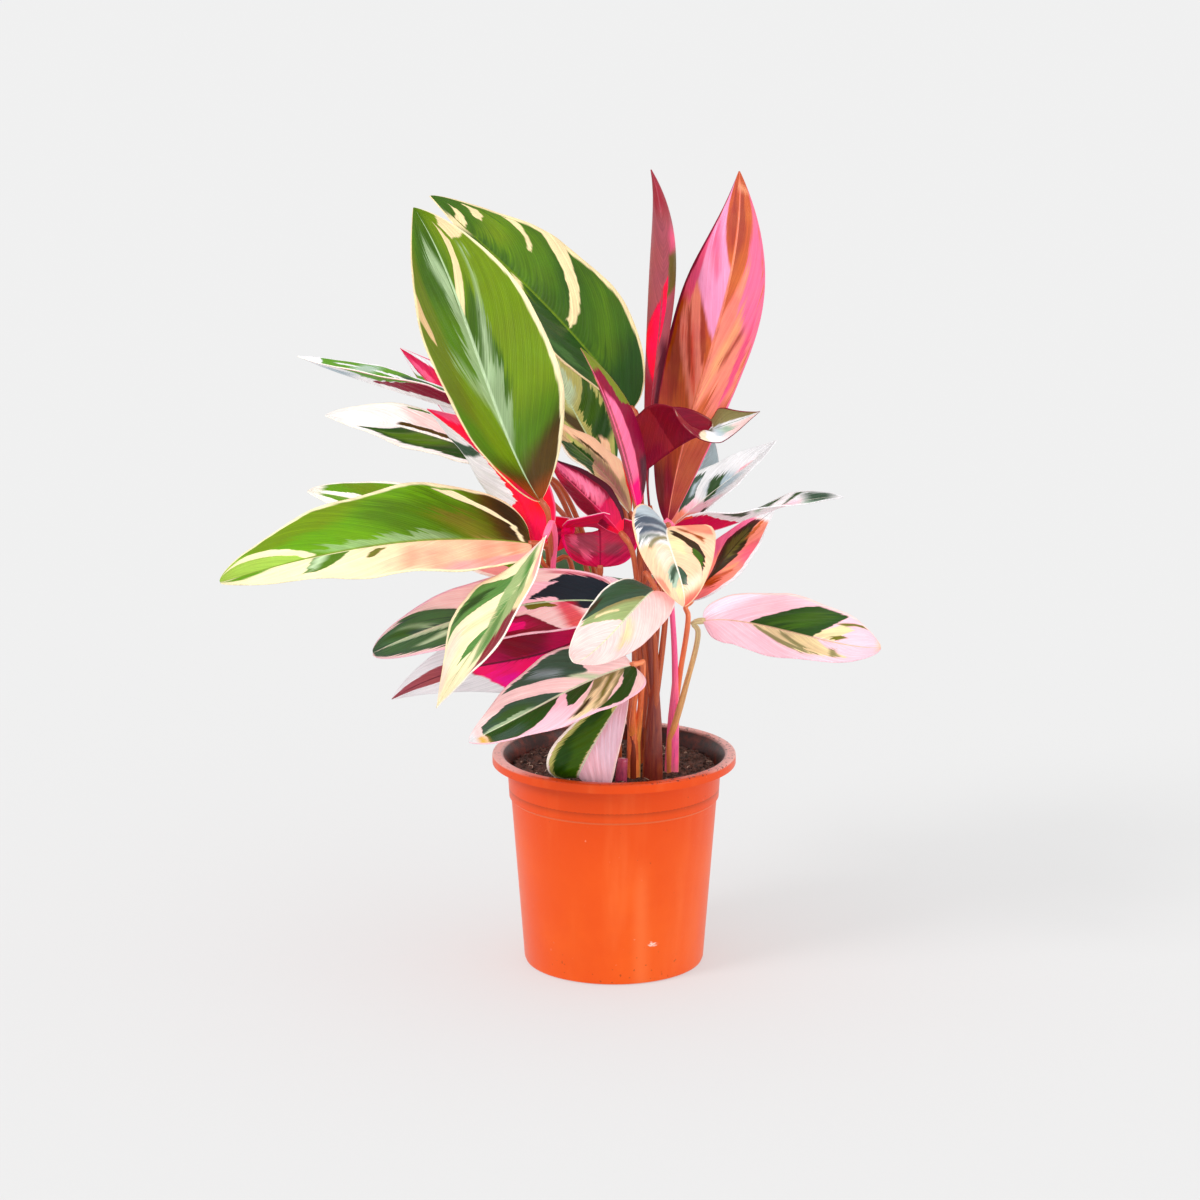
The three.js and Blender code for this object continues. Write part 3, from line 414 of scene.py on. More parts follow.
        margins=("snow", "snow", 0.06, 0.05), rib_colour="ivory", veins=(0.4, 1.2), patches="""
            crimson -10 88 -10 48 -10 34 10, salmon 80 100 -10 22 -10 20 10,
            steel 0 -20 30 46 30 50 30 30, pine -10 -100 42 52 52 66 60 30,
            forest -30 -90 56 62 62 70 60 20, pine 35 100 50 54 42 58 40 20,
            jade 40 100 58 60 60 66 40 20, pink -20 100 72 79 72 80 20 30,
            jade -20 100 82 90 82 92 30 40, forest -10 -90 70 72 76 80 30 10,
            pine 80 -90 84 95 78 95 40 50"""),
    "right_under": dict(
        rib=[[44, -4, 214], [58, -8, 233], [72, -3, 249], [92, 12, 264]],
        face=[[0.5, 0.55, -0.65], [0.25, 0.83, -0.5]], wide=29, belly=0.47, full=0.8, fold=[[0, 10]],
        wave=0.8, clump="right", stalk=[[37, -11, 170], [42, -5, 206]], tint="coral", base="coral",
        margins=("snow", "pinkish", 0.12, 0.07), rib_colour="bark", veins=(0.3, 1.2), patches="""
            pinkish 50 100 30 90 26 90 20 60, coralpink -10 -100 -10 20 -10 30 20 100,
            rose -40 -100 50 70 50 80 40 80 70, rust 12 -50 12 26 20 34 40 50,
            umber 0 60 20 88 62 86 10, bark 2 50 26 84 60 84 30 60, bark 0 -34 20 80 50 66 20 20,
            bronze -15 35 44 74 56 78 40 60, amber -12 -60 22 26 38 44 40 30,
            peach -30 -62 34 40 46 52 40 30, amber -10 -30 70 90 74 90 30 50,
            snow -100 100 90 110 86 110 10 20"""),
    "centre_front": dict(
        rib=[[29, -54, 267], [30, -85, 262], [35, -105, 250], [37, -119, 237]],
        face=[[0.1, -0.4, 0.9], [-0.15, -0.45, 0.88]], wide=52, belly=0.3, full=0.6,
        fold=[[14, 44], [22, 22]], wave=0.8, clump="front",
        stalk=[[28, -25, 200], [31, -27, 246], [30, -42, 265]], base="peach",
        # Its snow and steel patches near the foot of the right half are partly painted gloss highlight on a
        # grey-green lobe.
        margins=("peach", "peach", 0.04, 0.03), rib_colour="ivory", veins=(0.4, 1.2), patches="""
            snow 0 100 -10 32 -10 48 20 30, steel 2 100 0 15 0 26 40 40, navy 2 95 0 8 22 34 60 30,
            navy 3 88 12 17 30 40 60 30, pine 20 95 24 27 42 46 60 30, khaki 3 62 20 24 40 45 40 20,
            peach 40 100 46 72 48 80 40 50, white 5 50 36 50 42 64 40 80 40,
            jade 0 46 50 66 66 90 30 20, pine 2 36 52 60 66 76 50 30, beige 5 42 78 90 80 92 30 30,
            pine -2 -22 54 74 66 78 30, salmon 70 100 72 84 70 90 20 30, peach -25 -95 5 50 10 70 30 50,
            beige -2 -30 6 34 12 50 30 40, bark -10 -78 8 17 58 76 15, moss -45 -72 42 50 58 68 20 10,
            rust -30 -74 7 11 36 44 20 30, salmon -50 -100 0 20 0 40 20 40,
            salmon -4 -100 88 110 82 110 20 60, cherry -4 -100 93 110 88 110 20 80 50,
            white -10 -80 74 84 70 78 30 80 40"""),
    "right_pink": dict(
        rib=[[50, -29, 208], [80, -42, 209], [115, -66, 206], [146, -79, 205]],
        face=[[-0.14, -0.34, 0.93], [-0.2, -0.45, 0.87]], wide=53, belly=0.42, full=0.5, fold=[[8, 8]],
        clump="right", stalk=[[40, -18, 165], [47, -27, 202]], tint="tan", base="pink",
        margins=("blush", "pink", 0.05, 0.05), rib_colour="tan", veins=(0.42, 1.2), patches="""
            pink 0 -100 10 24 16 34 40 70, lilac -30 -100 -10 12 -10 30 30 60,
            pink 30 100 30 50 36 56 40 60, beige 2 74 30 64 66 84 15, tan 4 70 33 62 66 82 60 80 60,
            khaki 6 68 31 34.5 62 72 35 10, khaki 8 50 45 48.5 60 65 35 10,
            khaki 34 72 73 76 76 80 50 10, beige -4 -60 60 72 72 80 15,
            forest -1 -92 28.5 61.5 55 73.5 6, moss -10 -80 38 54 56 68 50 60,
            olive -58 -98 69 74 86 91 15 10, olive -9 -26 68 74 74 79 50 10,
            peach -100 100 98 110 98 110 10 40"""),
    "centre_oval": dict(
        rib=[[22, -53, 231], [11, -75, 226], [-6, -95, 212], [-22, -122, 207]],
        face=[[0.18, -0.4, 0.9]], wide=41, belly=0.41, full=0.5, fold=[[9, 9]], wave=0.6, clump="front",
        stalk=[[23, -27, 190], [17, -30, 232], [18, -43, 238]], base="blush",
        # Its pine lens is the leaf's dark green, greyed by painted sheen.
        margins=("blush", "ivory", 0.025, 0.025), rib_colour="silver", veins=(0.42, 1.2), patches="""
            coralpink 0 -100 -10 10 -10 24 30 90, sage 2 90 17 46 54 68 10,
            khaki 2 80 17 24 50 60 60 50, beige 32 68 41 43 53 56 30 10, pine 2 97 -10 17.5 -10 66 6,
            forest 30 90 6 16 20 60 40 80 40, bark 84 100 40 50 50 70 20 30,
            beige -10 -60 42 50 56 70 50 70"""),
    "lower_left": dict(
        rib=[[10, -43, 186], [-20, -66, 180], [-50, -86, 169], [-80, -96, 156]],
        face=[[-0.05, -0.57, 0.82]], wide=54, belly=0.3, full=0.48, taper=1.4, fold=[[8, 8]],
        clump="side", stalk=[[15, -27, 160], [16, -36, 186]], tint="coral", base="blush",
        # Its steel streak in the dark lens is painted sheen; its silver streaks by the rib are partly painted
        # sheen.
        margins=("pink", "blush", 0.05, 0.05), rib_colour="silver", veins=(0.5, 1.1), patches="""
            pink 0 -100 36 56 50 86 50 50, pink 90 100 24 60 20 60 20 20, pine 24 94 24 33 22 72 10,
            steel 50 80 36 42 46 52 100 60 50, pine 2 57 42 91 72 90 8, moss 8 42 58 78 68 86 40 70 60,
            silver 1 12 60 90 66 90 100 40 60, silver -1 -14 62 90 70 90 100 40 60,
            forest -3 -94 46 90 78 90 8, pine -40 -90 70 86 76 88 40 60, khaki -3 -88 4 24 34 52 20,
            beige -10 -85 9 11 36 40 40 20, olive -6 -75 12 14 36 40 40 20,
            beige -10 -80 17 19 40 46 40 20, beige -30 -90 26 30 42 54 30 30,
            bark -50 -82 34 38 46 52 50 20, forest -3 -46 24 42 44 48 6, forest -1 -55 -10 5.5 4 16 8,
            forest -52 -94 4 16 20 40 8, silver 2 30 20 26 30 36 40 40,
            gold -10 -90 91 95.5 90 95 20 30, snow -90 90 95 110 95 110 10 20"""),
    "hanging_pot": dict(
        rib=[[8, -38, 170], [-6, -45, 150], [-18, -50, 129], [-19, -41, 121]],
        face=[[-0.25, -0.95, 0.15], [-0.2, -0.95, 0.1], [-0.1, -0.6, -0.8]], wide=41, belly=0.67,
        full=0.48, fold=[[25, 0]], wave=0.6, clump="side", stalk=[[10, -26, 145], [12, -30, 168]],
        tint="coral", base="pink", margins=("blush", "ivory", 0.04, 0.06), rib_colour="silver",
        veins=(0.42, 1.3), patches="""
            lilac -10 -90 20 50 24 60 50 90 60, straw 4 93 10 100 -10 100 10, moss 6 78 22 110 4 110 10,
            forest 40 80 10 80 10 90 30 60, moss 12 60 36 60 36 56 50 70"""),
    "hanging_left": dict(
        rib=[[-38, -58, 263], [-55, -83, 236], [-76, -91, 208], [-98, -86, 172]],
        face=[[-0.7, -0.45, 0.55], [-0.6, -0.65, 0.48]], wide=55, belly=0.5, full=1, fold=[[22, 10]],
        clump="rear_left", stalk=[[-19, -6, 178], [-34, -13, 224], [-33, -36, 258], [-35, -50, 269]],
        tint="rose", base="cream", margins=("ivory", "cream", 0.05, 0.06), rib_colour="sage",
        veins=(0.5, 1.2), patches="""
            blush 20 100 -10 6 -10 12 20 50, blush 50 100 60 100 80 100 40 100 50,
            fern 26 94 20 34 36 78 10, forest 60 90 34 46 50 70 50 40, sage 62 0 3 8 14 60 15 20,
            sage 1 -60 14 61 34 76 15 20, fern 10 -50 36 50 56 72 50 40, fern 40 -20 6 12 20 34 50 50,
            beige 10 50 46 50 62 68 50 30, fern 2 20 54 70 68 80 20, beige -55 -100 20 46 20 44 20 30,
            garnet -54 -100 42 62 42 78 30 10, coralpink -60 -100 0 24 0 30 20 30"""),
    "low_far_left": dict(
        rib=[[2, -34, 219], [-43, -36, 220], [-93, -42, 210], [-136, -32, 190]],
        face=[[-0.15, -0.75, 0.65]], wide=42, belly=0.4, full=0.45, fold=[[6, 6]], clump="side",
        stalk=[[11, -22, 160], [10, -33, 214]], base="blush", margins=("pink", "pink", 0.04, 0.05),
        rib_colour="silver", veins=(0.5, 1.2), patches="""
            pink -20 50 10 44 10 40 30 50, night 14 86 -10 36 -10 22 15, ruby 84 100 5 28 5 26 20 40 70,
            night 34 -34 -10 31 -10 15 6, pink 28 60 33 40 24 34 30, olive 4 -18 30 38 26 38 20,
            cherry -4 -100 20 27 10 22 20 30 85, garnet -32 -100 38 50 24 60 8,
            ruby -40 -80 40 46 34 50 50 70, fuchsia -55 -80 40 46 40 50 10, pine 2 88 54 102 80 102 25,
            pine -6 -86 54 100 56 98 20, silver 6 55 72 75 84 87 50 40,
            fern 10 80 60 98 74 100 80 60 45, fern -10 -80 60 98 64 96 80 60 45,
            silver -2 -16 60 94 66 90 60 40 80, moss 10 50 80 86 86 94 40 60,
            silver -30 -60 64 70 76 80 50 40"""),
    "magenta_under": dict(
        rib=[[-8, -22, 204], [-45, -24, 187], [-85, -16, 177], [-127, -16, 159]],
        face=[[-0.1, 0.97, 0.1]], wide=46, belly=0.36, full=0.7, fold=[[10, 12]], clump="side",
        stalk=[[7, -23, 160], [1, -24, 200]], base="ruby", margins=("snow", "snow", 0.03, 0.03),
        rib_colour="maroon", veins=(0.4, 1.2), patches="""
            wine -5 -90 28 46 20 40 40 60, hot 3 100 14 68 14 49 10 10,
            fuchsia 40 100 44 58 30 46 40 50, garnet -10 -100 28 50 20 50 50 80,
            dusk -50 40 66 110 62 110 20 20, snow 3 100 67 70 48 110 10 10,
            snow 36 100 60 110 48 110 10 10, snow -42 -100 70 110 66 110 10 10"""),
    "back_left_red": dict(
        rib=[[-35, 2, 241], [-35, 3, 253], [-36, 12, 257], [-38, 30, 250]],
        face=[[0, 1, 0], [0, 0.6, 0.8], [0, 0.2, 1]], wide=26, belly=0.4, full=0.6, fold=[[8, 8]],
        wave=0.5, clump="rear", stalk=[[-8, 18, 190], [-22, 6, 222], [-27, 3, 238]], base="scarlet",
        margins=("hot", "pinkish", 0.06, 0.06), rib_colour="scarlet", veins=(0.3, 1.3), patches="""
            wine -10 -40 -10 40 -10 38 20 40, hot -50 -80 24 40 24 40 40 30,
            crimson -100 100 26 30 28 32 40 40, pinkish 40 80 50 80 50 80 30 40,
            snow 10 40 54 90 54 90 30 30"""),
    "back_red": dict(
        rib=[[-8, -6, 234], [-8, -5, 252], [-9, 6, 259], [-11, 30, 250]],
        face=[[0, 1, 0], [0, 0.5, 0.87], [0, 0.1, 1]], wide=44, belly=0.35, full=0.45,
        fold=[[5, 5], [-10, -10], [5, 5]], wave=0.8, clump="rear", stalk=[[-6, 12, 190], [-8, -4, 222]],
        base="crimson", margins=("hot", "hot", 0.06, 0.06), rib_colour="wine", veins=(0.3, 1.3),
        # Its two broad mauve washes are painted highlight on the crimson.
        patches="""
            wine 10 80 10 36 10 40 50 50, rose 30 60 6 16 6 20 50 40, rose 60 80 20 34 24 40 60 30,
            wine -10 -60 10 24 10 24 40 50, scarlet -45 -100 42 68 42 66 30 40,
            wine -20 -50 50 74 50 70 40 50, rose -50 -100 72 84 70 84 50 40,
            mauve 0 100 10 90 10 90 90 90 40, mauve 0 -100 10 90 10 90 90 90 40"""),
    "back_low": dict(
        rib=[[14, 40, 196], [12, 74, 204], [8, 108, 200], [2, 140, 182]], face=[[0, 0, 1]], wide=44,
        belly=0.45, full=0.6, fold=[[12, 12]], clump="rear_right", stalk=[[18, 24, 170], [16, 34, 192]],
        base="forest", margins=("blush", "ivory", 0.07, 0.06), rib_colour="silver", veins=(0.42, 1.2),
        patches="""
            ivory 5 100 40 52 70 86 20, pink -10 -100 22 36 46 62 25, moss -10 -90 45 80 60 90 40 70,
            moss 10 90 10 40 20 60 40 70"""),
    "back_right": dict(
        rib=[[36, 54, 247], [43, 76, 287], [51, 93, 327], [59, 104, 365]], face=[[-0.3, -0.8, 0.5]],
        wide=42, belly=0.5, full=0.7, fold=[[15, 15]], clump="rear_right",
        stalk=[[23, 26, 185], [27, 42, 232]], base="green", margins=("cream", "cream", 0.08, 0.06),
        rib_colour="lime", veins=(0.42, 1.2), patches="""
            cream 3 90 50 58 74 90 20, forest -5 -90 20 60 30 70 40 70, cream -30 -100 60 72 70 92 25,
            lime 10 90 20 50 30 66 40 80"""),
    "back_left": dict(
        rib=[[-16, 40, 200], [-32, 72, 214], [-50, 100, 218], [-68, 122, 206]], face=[[0, 0, 1]],
        wide=46, belly=0.45, full=0.6, fold=[[12, 12]], clump="rear",
        stalk=[[-6, 28, 172], [-12, 36, 196]], base="green", margins=("pink", "cream", 0.06, 0.07),
        rib_colour="silver", veins=(0.42, 1.2), patches="""
            cream -3 -95 34 44 60 74 20, forest 5 90 20 60 30 70 40 70, blush 40 100 60 80 66 98 25"""),
}

# Leaves that are mostly cream and pink, and those that show their red under side. The rest are green.
PALE_LEAVES = {"left_mid", "peach_mid", "right_narrow", "right_pink", "centre_oval"}
RED_LEAVES = {"rear_left", "red_behind", "rolled_upright", "tall_right", "pink_mid", "rolled_centre",
              "arched_right", "right_under", "magenta_under", "back_left_red", "back_red"}


# ------------------------------------------------------------------ the shape of a leaf
def along(values, share):
    """The value at a share of the way through evenly spaced values, each a list of numbers."""
    place = share * (len(values) - 1)
    before = min(int(place), max(len(values) - 2, 0))
    after = min(before + 1, len(values) - 1)
    return Vector(values[before]).lerp(Vector(values[after]), place - before)


def tapered(values, steps):
    """Numbers for each end of so many steps, that change evenly from one given value to the next."""
    return [along([[value, 0] for value in values], i / steps)[0] for i in range(steps + 1)]


def rib_at(leaf, share):
    """The point and heading on the smooth curve through the four points of a leaf's rib."""
    start, first, second, end = (Vector(point) for point in leaf["rib"])
    near = (-5 * start + 18 * first - 9 * second + 2 * end) / 6
    far = (2 * start - 9 * first + 18 * second - 5 * end) / 6
    rest = 1 - share
    point = (rest ** 3 * start + 3 * rest * rest * share * near
             + 3 * rest * share * share * far + share ** 3 * end)
    heading = (rest * rest * (near - start) + 2 * rest * share * (far - near)
               + share * share * (end - far))
    return point, heading.normalized()


def half_width(leaf, share):
    """Half a blade's width at a share of its length, never less than its slim foot and tip."""
    least = FOOT_HALF_WIDTH + (TIP_HALF_WIDTH - FOOT_HALF_WIDTH) * share - EDGE_ROUNDING
    if share <= 0 or share >= 1:
        return least
    even = share ** (math.log(0.5) / math.log(leaf["belly"]))
    power = leaf.get("full", USUAL_FULL) * (1 if even < 0.5 else leaf.get("taper", USUAL_TAPER))
    return max(least, leaf["wide"] / 2 * math.sin(math.pi * even) ** power - EDGE_ROUNDING)


def blade_frame(leaf, share):
    """What every point across a blade shares at one place along it."""
    point, heading = rib_at(leaf, share)
    up = along(leaf["face"], share)
    up = (up - heading * up.dot(heading)).normalized()
    folds = along(leaf["fold"], share)
    return point, heading.cross(up), up, half_width(leaf, share), folds


def blade_point(leaf, share, v, frame_here, seed):
    """The point at v across a blade, with its rib groove, pleats and ruffled margin."""
    point, right, up, half, folds = frame_here
    side = 0 if v < 0 else 1
    reach = abs(v)
    fold = math.radians(folds[side])
    curl = math.radians(leaf.get("curl", USUAL_CURL)[side])
    out, rise = reach * math.cos(fold), reach * math.sin(fold)
    if curl > 0:
        out = (math.sin(fold + curl * reach) - math.sin(fold)) / curl
        rise = (math.cos(fold) - math.cos(fold + curl * reach)) / curl
    ruffle = math.sin(2 * math.pi * RUFFLES * share + 1.3 * side) * math.sin(math.pi * share)
    lift = leaf.get("wave", USUAL_WAVE) * ruffle * reach ** 2
    vein = share - leaf["veins"][0] * reach ** leaf["veins"][1]
    size = min(1, half / BROAD_HALF_WIDTH)
    pleat = math.sin(2 * math.pi * (PLEATS * vein + 0.13 * seed + 0.3 * side))
    pleat += noise.noise(Vector((vein * 26, v * 1.5, seed)))
    lift += PLEAT_DEPTH * size * reach * (1 - reach) * 4 * pleat
    lift -= RIB_GROOVE * math.exp(-(reach * half / RIB_GROOVE_WIDTH) ** 2) * min(1, half / SLIM_HALF_WIDTH)
    lift += MARGIN_CRIMP * size * reach ** 4 * noise.noise(Vector((share * 17, side * 9, seed)))
    return point + right * math.copysign(out * half, v) + up * (rise * half + lift)


def stalk_path(leaf, clump, turn):
    """The points a leaf's stalk passes, from inside the clump's sheath to the blade's foot."""
    foot, heading = rib_at(leaf, 0)
    spread = Vector((math.cos(turn), math.sin(turn), 0)) * clump["radius"] * STALK_SPREAD
    start = Vector((*clump["at"], SOIL_LEVEL + STALK_START)) + spread
    below = Vector((*clump["at"], SOIL_LEVEL - STALK_DEPTH)) + spread * BURIED_SPREAD
    points = [start] + [Vector(point) for point in leaf["stalk"]] + [foot - heading * JOINT_LENGTH]
    return below, smooth_path(points + [foot + heading * STALK_LAP], STALK_STEPS)


def smooth_path(points, count):
    """Evenly spaced points on a smooth curve through the given ones (centripetal Catmull-Rom)."""
    ends = [2 * points[0] - points[1]] + points + [2 * points[-1] - points[-2]]
    dense = []
    for a, b, c, d in zip(ends, ends[1:], ends[2:], ends[3:]):
        steps = [max((q - p).length, 1e-6) ** 0.5 for p, q in ((a, b), (b, c), (c, d))]
        leave = (b - a) / steps[0] - (c - a) / (steps[0] + steps[1]) + (c - b) / steps[1]
        arrive = (c - b) / steps[1] - (d - b) / (steps[1] + steps[2]) + (d - c) / steps[2]
        leave, arrive = leave * steps[1], arrive * steps[1]
        for i in range(CURVE_STEPS):
            t = i / CURVE_STEPS
            dense.append(b + leave * t + (3 * (c - b) - 2 * leave - arrive) * t * t
                         + (2 * (b - c) + leave + arrive) * t ** 3)
    dense.append(points[-1])
    lengths = [0]
    for before, after in zip(dense, dense[1:]):
        lengths.append(lengths[-1] + (after - before).length)
    spaced = []
    place = 0
    for i in range(count + 1):
        target = lengths[-1] * i / count
        while place < len(dense) - 2 and lengths[place + 1] < target:
            place += 1
        step = lengths[place + 1] - lengths[place]
        spaced.append(dense[place].lerp(dense[place + 1], (target - lengths[place]) / step if step else 0))
    return spaced


# ------------------------------------------------------------------ shader nodes
class Wire:
    """A value inside a shader. Sums and products of wires and numbers add the nodes they need."""

    def __init__(self, shader, socket):
        self.shader = shader
        self.socket = socket

    def __add__(self, other):
        return self.shader.maths("ADD", self, other)

    def __sub__(self, other):
        return self.shader.maths("SUBTRACT", self, other)

    def __rsub__(self, other):
        return self.shader.maths("SUBTRACT", other, self)

    def __mul__(self, other):
        return self.shader.maths("MULTIPLY", self, other)

    def __truediv__(self, other):
        return self.shader.maths("DIVIDE", self, other)

    def __pow__(self, other):
        return self.shader.maths("POWER", self, other)

    def __abs__(self):
        return self.shader.maths("ABSOLUTE", self)

    def scaled(self, factor, shift):
        """This value times a factor, moved on by a shift."""
        return self.shader.maths("MULTIPLY_ADD", self, factor, shift)

    def sine(self):
        return self.shader.maths("SINE", self)

    def rise(self, low, high, to_low=0.0, to_high=1.0):
        """Climbs smoothly from to_low, where this value is low, to to_high, where it is high."""
        node = self.shader.tree.nodes.new("ShaderNodeMapRange")
        node.interpolation_type = "SMOOTHSTEP"
        return self.shader.fill(node, (self, low, high, to_low, to_high))


class Shader:
    """Adds nodes to a material or node group and joins their sockets."""

    def __init__(self, tree):
        self.tree = tree

    def feed(self, socket, value):
        """Joins a wire to a socket, or sets the socket to a constant."""
        if isinstance(value, Wire):
            self.tree.links.new(value.socket, socket)
        else:
            socket.default_value = value

    def fill(self, node, values):
        """Feeds a node's sockets in their order and gives its first output."""
        for socket, value in zip(node.inputs, values):
            self.feed(socket, value)
        return Wire(self, node.outputs[0])

    def outputs(self, node):
        return {output.name: Wire(self, output) for output in node.outputs}

    def add(self, kind, node_tree=None, **inputs):
        """A new node, fed by the names of its sockets; gives its outputs by name."""
        node = self.tree.nodes.new(kind)
        if node_tree:
            node.node_tree = node_tree
        for key, value in inputs.items():
            self.feed(node.inputs[key.replace("_", " ")], value)
        return self.outputs(node)

    def maths(self, operation, *values):
        """A sum on wires and numbers, by the name of its operation."""
        node = self.tree.nodes.new("ShaderNodeMath")
        node.operation = operation
        return self.fill(node, values)

    def uv(self):
        """Where a point lies along and across its blade, or along and round its stalk."""
        return tuple(self.split(self.add("ShaderNodeUVMap")["UV"]))[:2]

    def place(self):
        """Where a point lies in the frame, in metres."""
        return self.add("ShaderNodeTexCoord")["Object"]

    def split(self, vector):
        return self.add("ShaderNodeSeparateXYZ", Vector=vector).values()

    def join(self, x, y, z):
        return self.add("ShaderNodeCombineXYZ", X=x, Y=y, Z=z)["Vector"]

    def grain(self, place, scale, detail=2.0, roughness=0.5, stretch=None):
        """Noise between 0 and 1, finer in the directions that stretch makes longer."""
        if stretch:
            place = self.add("ShaderNodeMapping", Vector=place, Scale=stretch)["Vector"]
        return self.add("ShaderNodeTexNoise", Vector=place, Scale=scale, Detail=detail,
                        Roughness=roughness)["Fac"]

    def coats(self, tone, *coats):
        """A colour under further colours, each with the share of it that shows."""
        for share, code in coats:
            node = self.tree.nodes.new("ShaderNodeMix")
            node.data_type = "RGBA"
            for index, value in ((0, share), (6, tone), (7, colour(code))):
                self.feed(node.inputs[index], value)
            tone = Wire(self, node.outputs[2])
        return tone

    def shaded(self, tone, hue, light, saturation=1.0):
        """A colour turned in hue, lightened or darkened; hue 0.5 leaves it as it is."""
        return self.add("ShaderNodeHueSaturation", Hue=hue, Saturation=saturation, Value=light,
                        Color=tone)["Color"]

    def skin(self, **inputs):
        """Feeds the named inputs of the material's own shader."""
        for key, value in inputs.items():
            self.feed(self.tree.nodes["Principled BSDF"].inputs[key.replace("_", " ")], value)

    def dress(self, tone, roughness, height, depth, strength=1.0, **constants):
        """Gives the material its colour, its roughness, bumps of a given depth, and its constants."""
        bumps = self.add("ShaderNodeBump", Height=height, Distance=depth, Strength=strength)["Normal"]
        self.skin(Base_Color=tone, Roughness=roughness, Normal=bumps, **constants)


def colour(code):
    """A colour as the renderer mixes it, from its six hexadecimal digits."""
    parts = [int(code[i:i + 2], 16) / 255 for i in (0, 2, 4)]
    return tuple(p / 12.92 if p <= 0.04045 else ((p + 0.055) / 1.055) ** 2.4 for p in parts) + (1.0,)


def new_material(name):
    """A new material and the shader that fills it."""
    material = bpy.data.materials.new(name)
    material.use_nodes = True
    return material, Shader(material.node_tree)


def new_group(name, inputs, outputs):
    """A node group of plain numbers, with its shader, its given inputs and its output node."""
    group = bpy.data.node_groups.new(name, "ShaderNodeTree")
    for socket in inputs:
        group.interface.new_socket(socket, in_out="INPUT", socket_type="NodeSocketFloat")
    for socket in outputs:
        group.interface.new_socket(socket, in_out="OUTPUT", socket_type="NodeSocketFloat")
    shader = Shader(group)
    given = shader.outputs(group.nodes.new("NodeGroupInput"))
    return group, shader, given, group.nodes.new("NodeGroupOutput")


def make_vein_group():
    """Where a point lies on its blade: across it, along its side vein, and the streaks there."""
    group, s, given, out = new_group("leaf_veins", ["Seed", "Lean", "Bend"],
                                     ["Across", "Reach", "Along", "Vein", "Streak", "Waver", "Hairline"])
    along, side = s.uv()
    across = side.scaled(2.0, -1.0)
    reach = abs(across)
    vein = along - reach ** given["Bend"] * given["Lean"]
    here = s.join(vein, across, given["Seed"])
    streak = s.grain(here, 1.0, 3.0, 0.6, (46.0, 2.2, 7.3))
    waver = s.grain(here, 1.0, 2.0, 0.5, (14.0, 7.0, 5.1))
    hairline = s.grain(here, 1.0, 3.0, 0.7, (150.0, 5.0, 3.7))
    for socket, value in zip(out.inputs, (across, reach, along, vein, streak, waver, hairline)):
        s.feed(socket, value)
    return group


def make_patch_group():
    """How much of a patch of colour covers a point of a blade, from 0 to 1."""
    group, s, given, out = new_group(
        "leaf_patch", ["Across", "Along", "Streak", "Waver", "Bend", "Inner", "Outer", "Near from",
                       "Near to", "Far from", "Far to", "Inner ragged", "Outer ragged", "Inner soft",
                       "Outer soft", "Soft"], ["Cover"])
    share = (given["Across"] - given["Inner"]) / (given["Outer"] - given["Inner"])
    kept = s.maths("MAXIMUM", s.maths("MINIMUM", share, 1.0), 0.0)
    ragged = given["Outer ragged"] * kept + given["Inner ragged"] * (1.0 - kept)
    torn = share + given["Streak"].scaled(3.0, -1.5) * ragged
    near = given["Inner soft"].scaled(0.3, 0.03)
    far = given["Outer soft"].scaled(0.3, 0.03)
    inside = torn.rise(near * -1.0, near) * torn.rise(1.0 - far, far + 1.0, 1.0, 0.0)
    turn = kept ** given["Bend"]
    low = turn.scaled(given["Far from"] - given["Near from"], given["Near from"])
    high = turn.scaled(given["Far to"] - given["Near to"], given["Near to"])
    along = given["Along"] + given["Waver"].scaled(0.03, -0.015)
    blur = given["Soft"].scaled(0.08, 0.005)
    back = blur * -1.0
    s.feed(out.inputs["Cover"], inside * ((along - low).rise(back, blur) * (high - along).rise(back, blur)))
    return group


vein_group = make_vein_group()
patch_group = make_patch_group()


def read_patches(text):
    """Each patch's colour and its nine numbers, with the usual ones where they are left out."""
    for row in text.split(","):
        word, *percents = row.split()
        numbers = [float(percent) / 100 for percent in percents]
        yield word, numbers + USUAL_EDGE[len(numbers) - PATCH_CORNERS:]


def patch_cover(s, here, numbers, bend):
    """The cover of one patch; it stays crisp where it starts on the rib or ends on the margin."""
    inner, outer, near_from, near_to, far_from, far_to, ragged, soft, strength = numbers
    from_rib = 0.0 if abs(inner) <= 0.05 else 1.0
    to_margin = 0.0 if abs(outer) >= 0.96 else 1.0
    cover = s.add("ShaderNodeGroup", patch_group, Across=here["Across"], Along=here["Along"],
                  Streak=here["Streak"], Waver=here["Waver"], Bend=bend, Inner=inner, Outer=outer,
                  Near_from=near_from, Near_to=near_to, Far_from=far_from, Far_to=far_to,
                  Inner_ragged=ragged * from_rib, Outer_ragged=ragged * to_margin,
                  Inner_soft=min(soft, 1) * from_rib, Outer_soft=min(soft, 1) * to_margin,
                  Soft=soft)["Cover"]
    return cover * strength if strength < 1 else cover


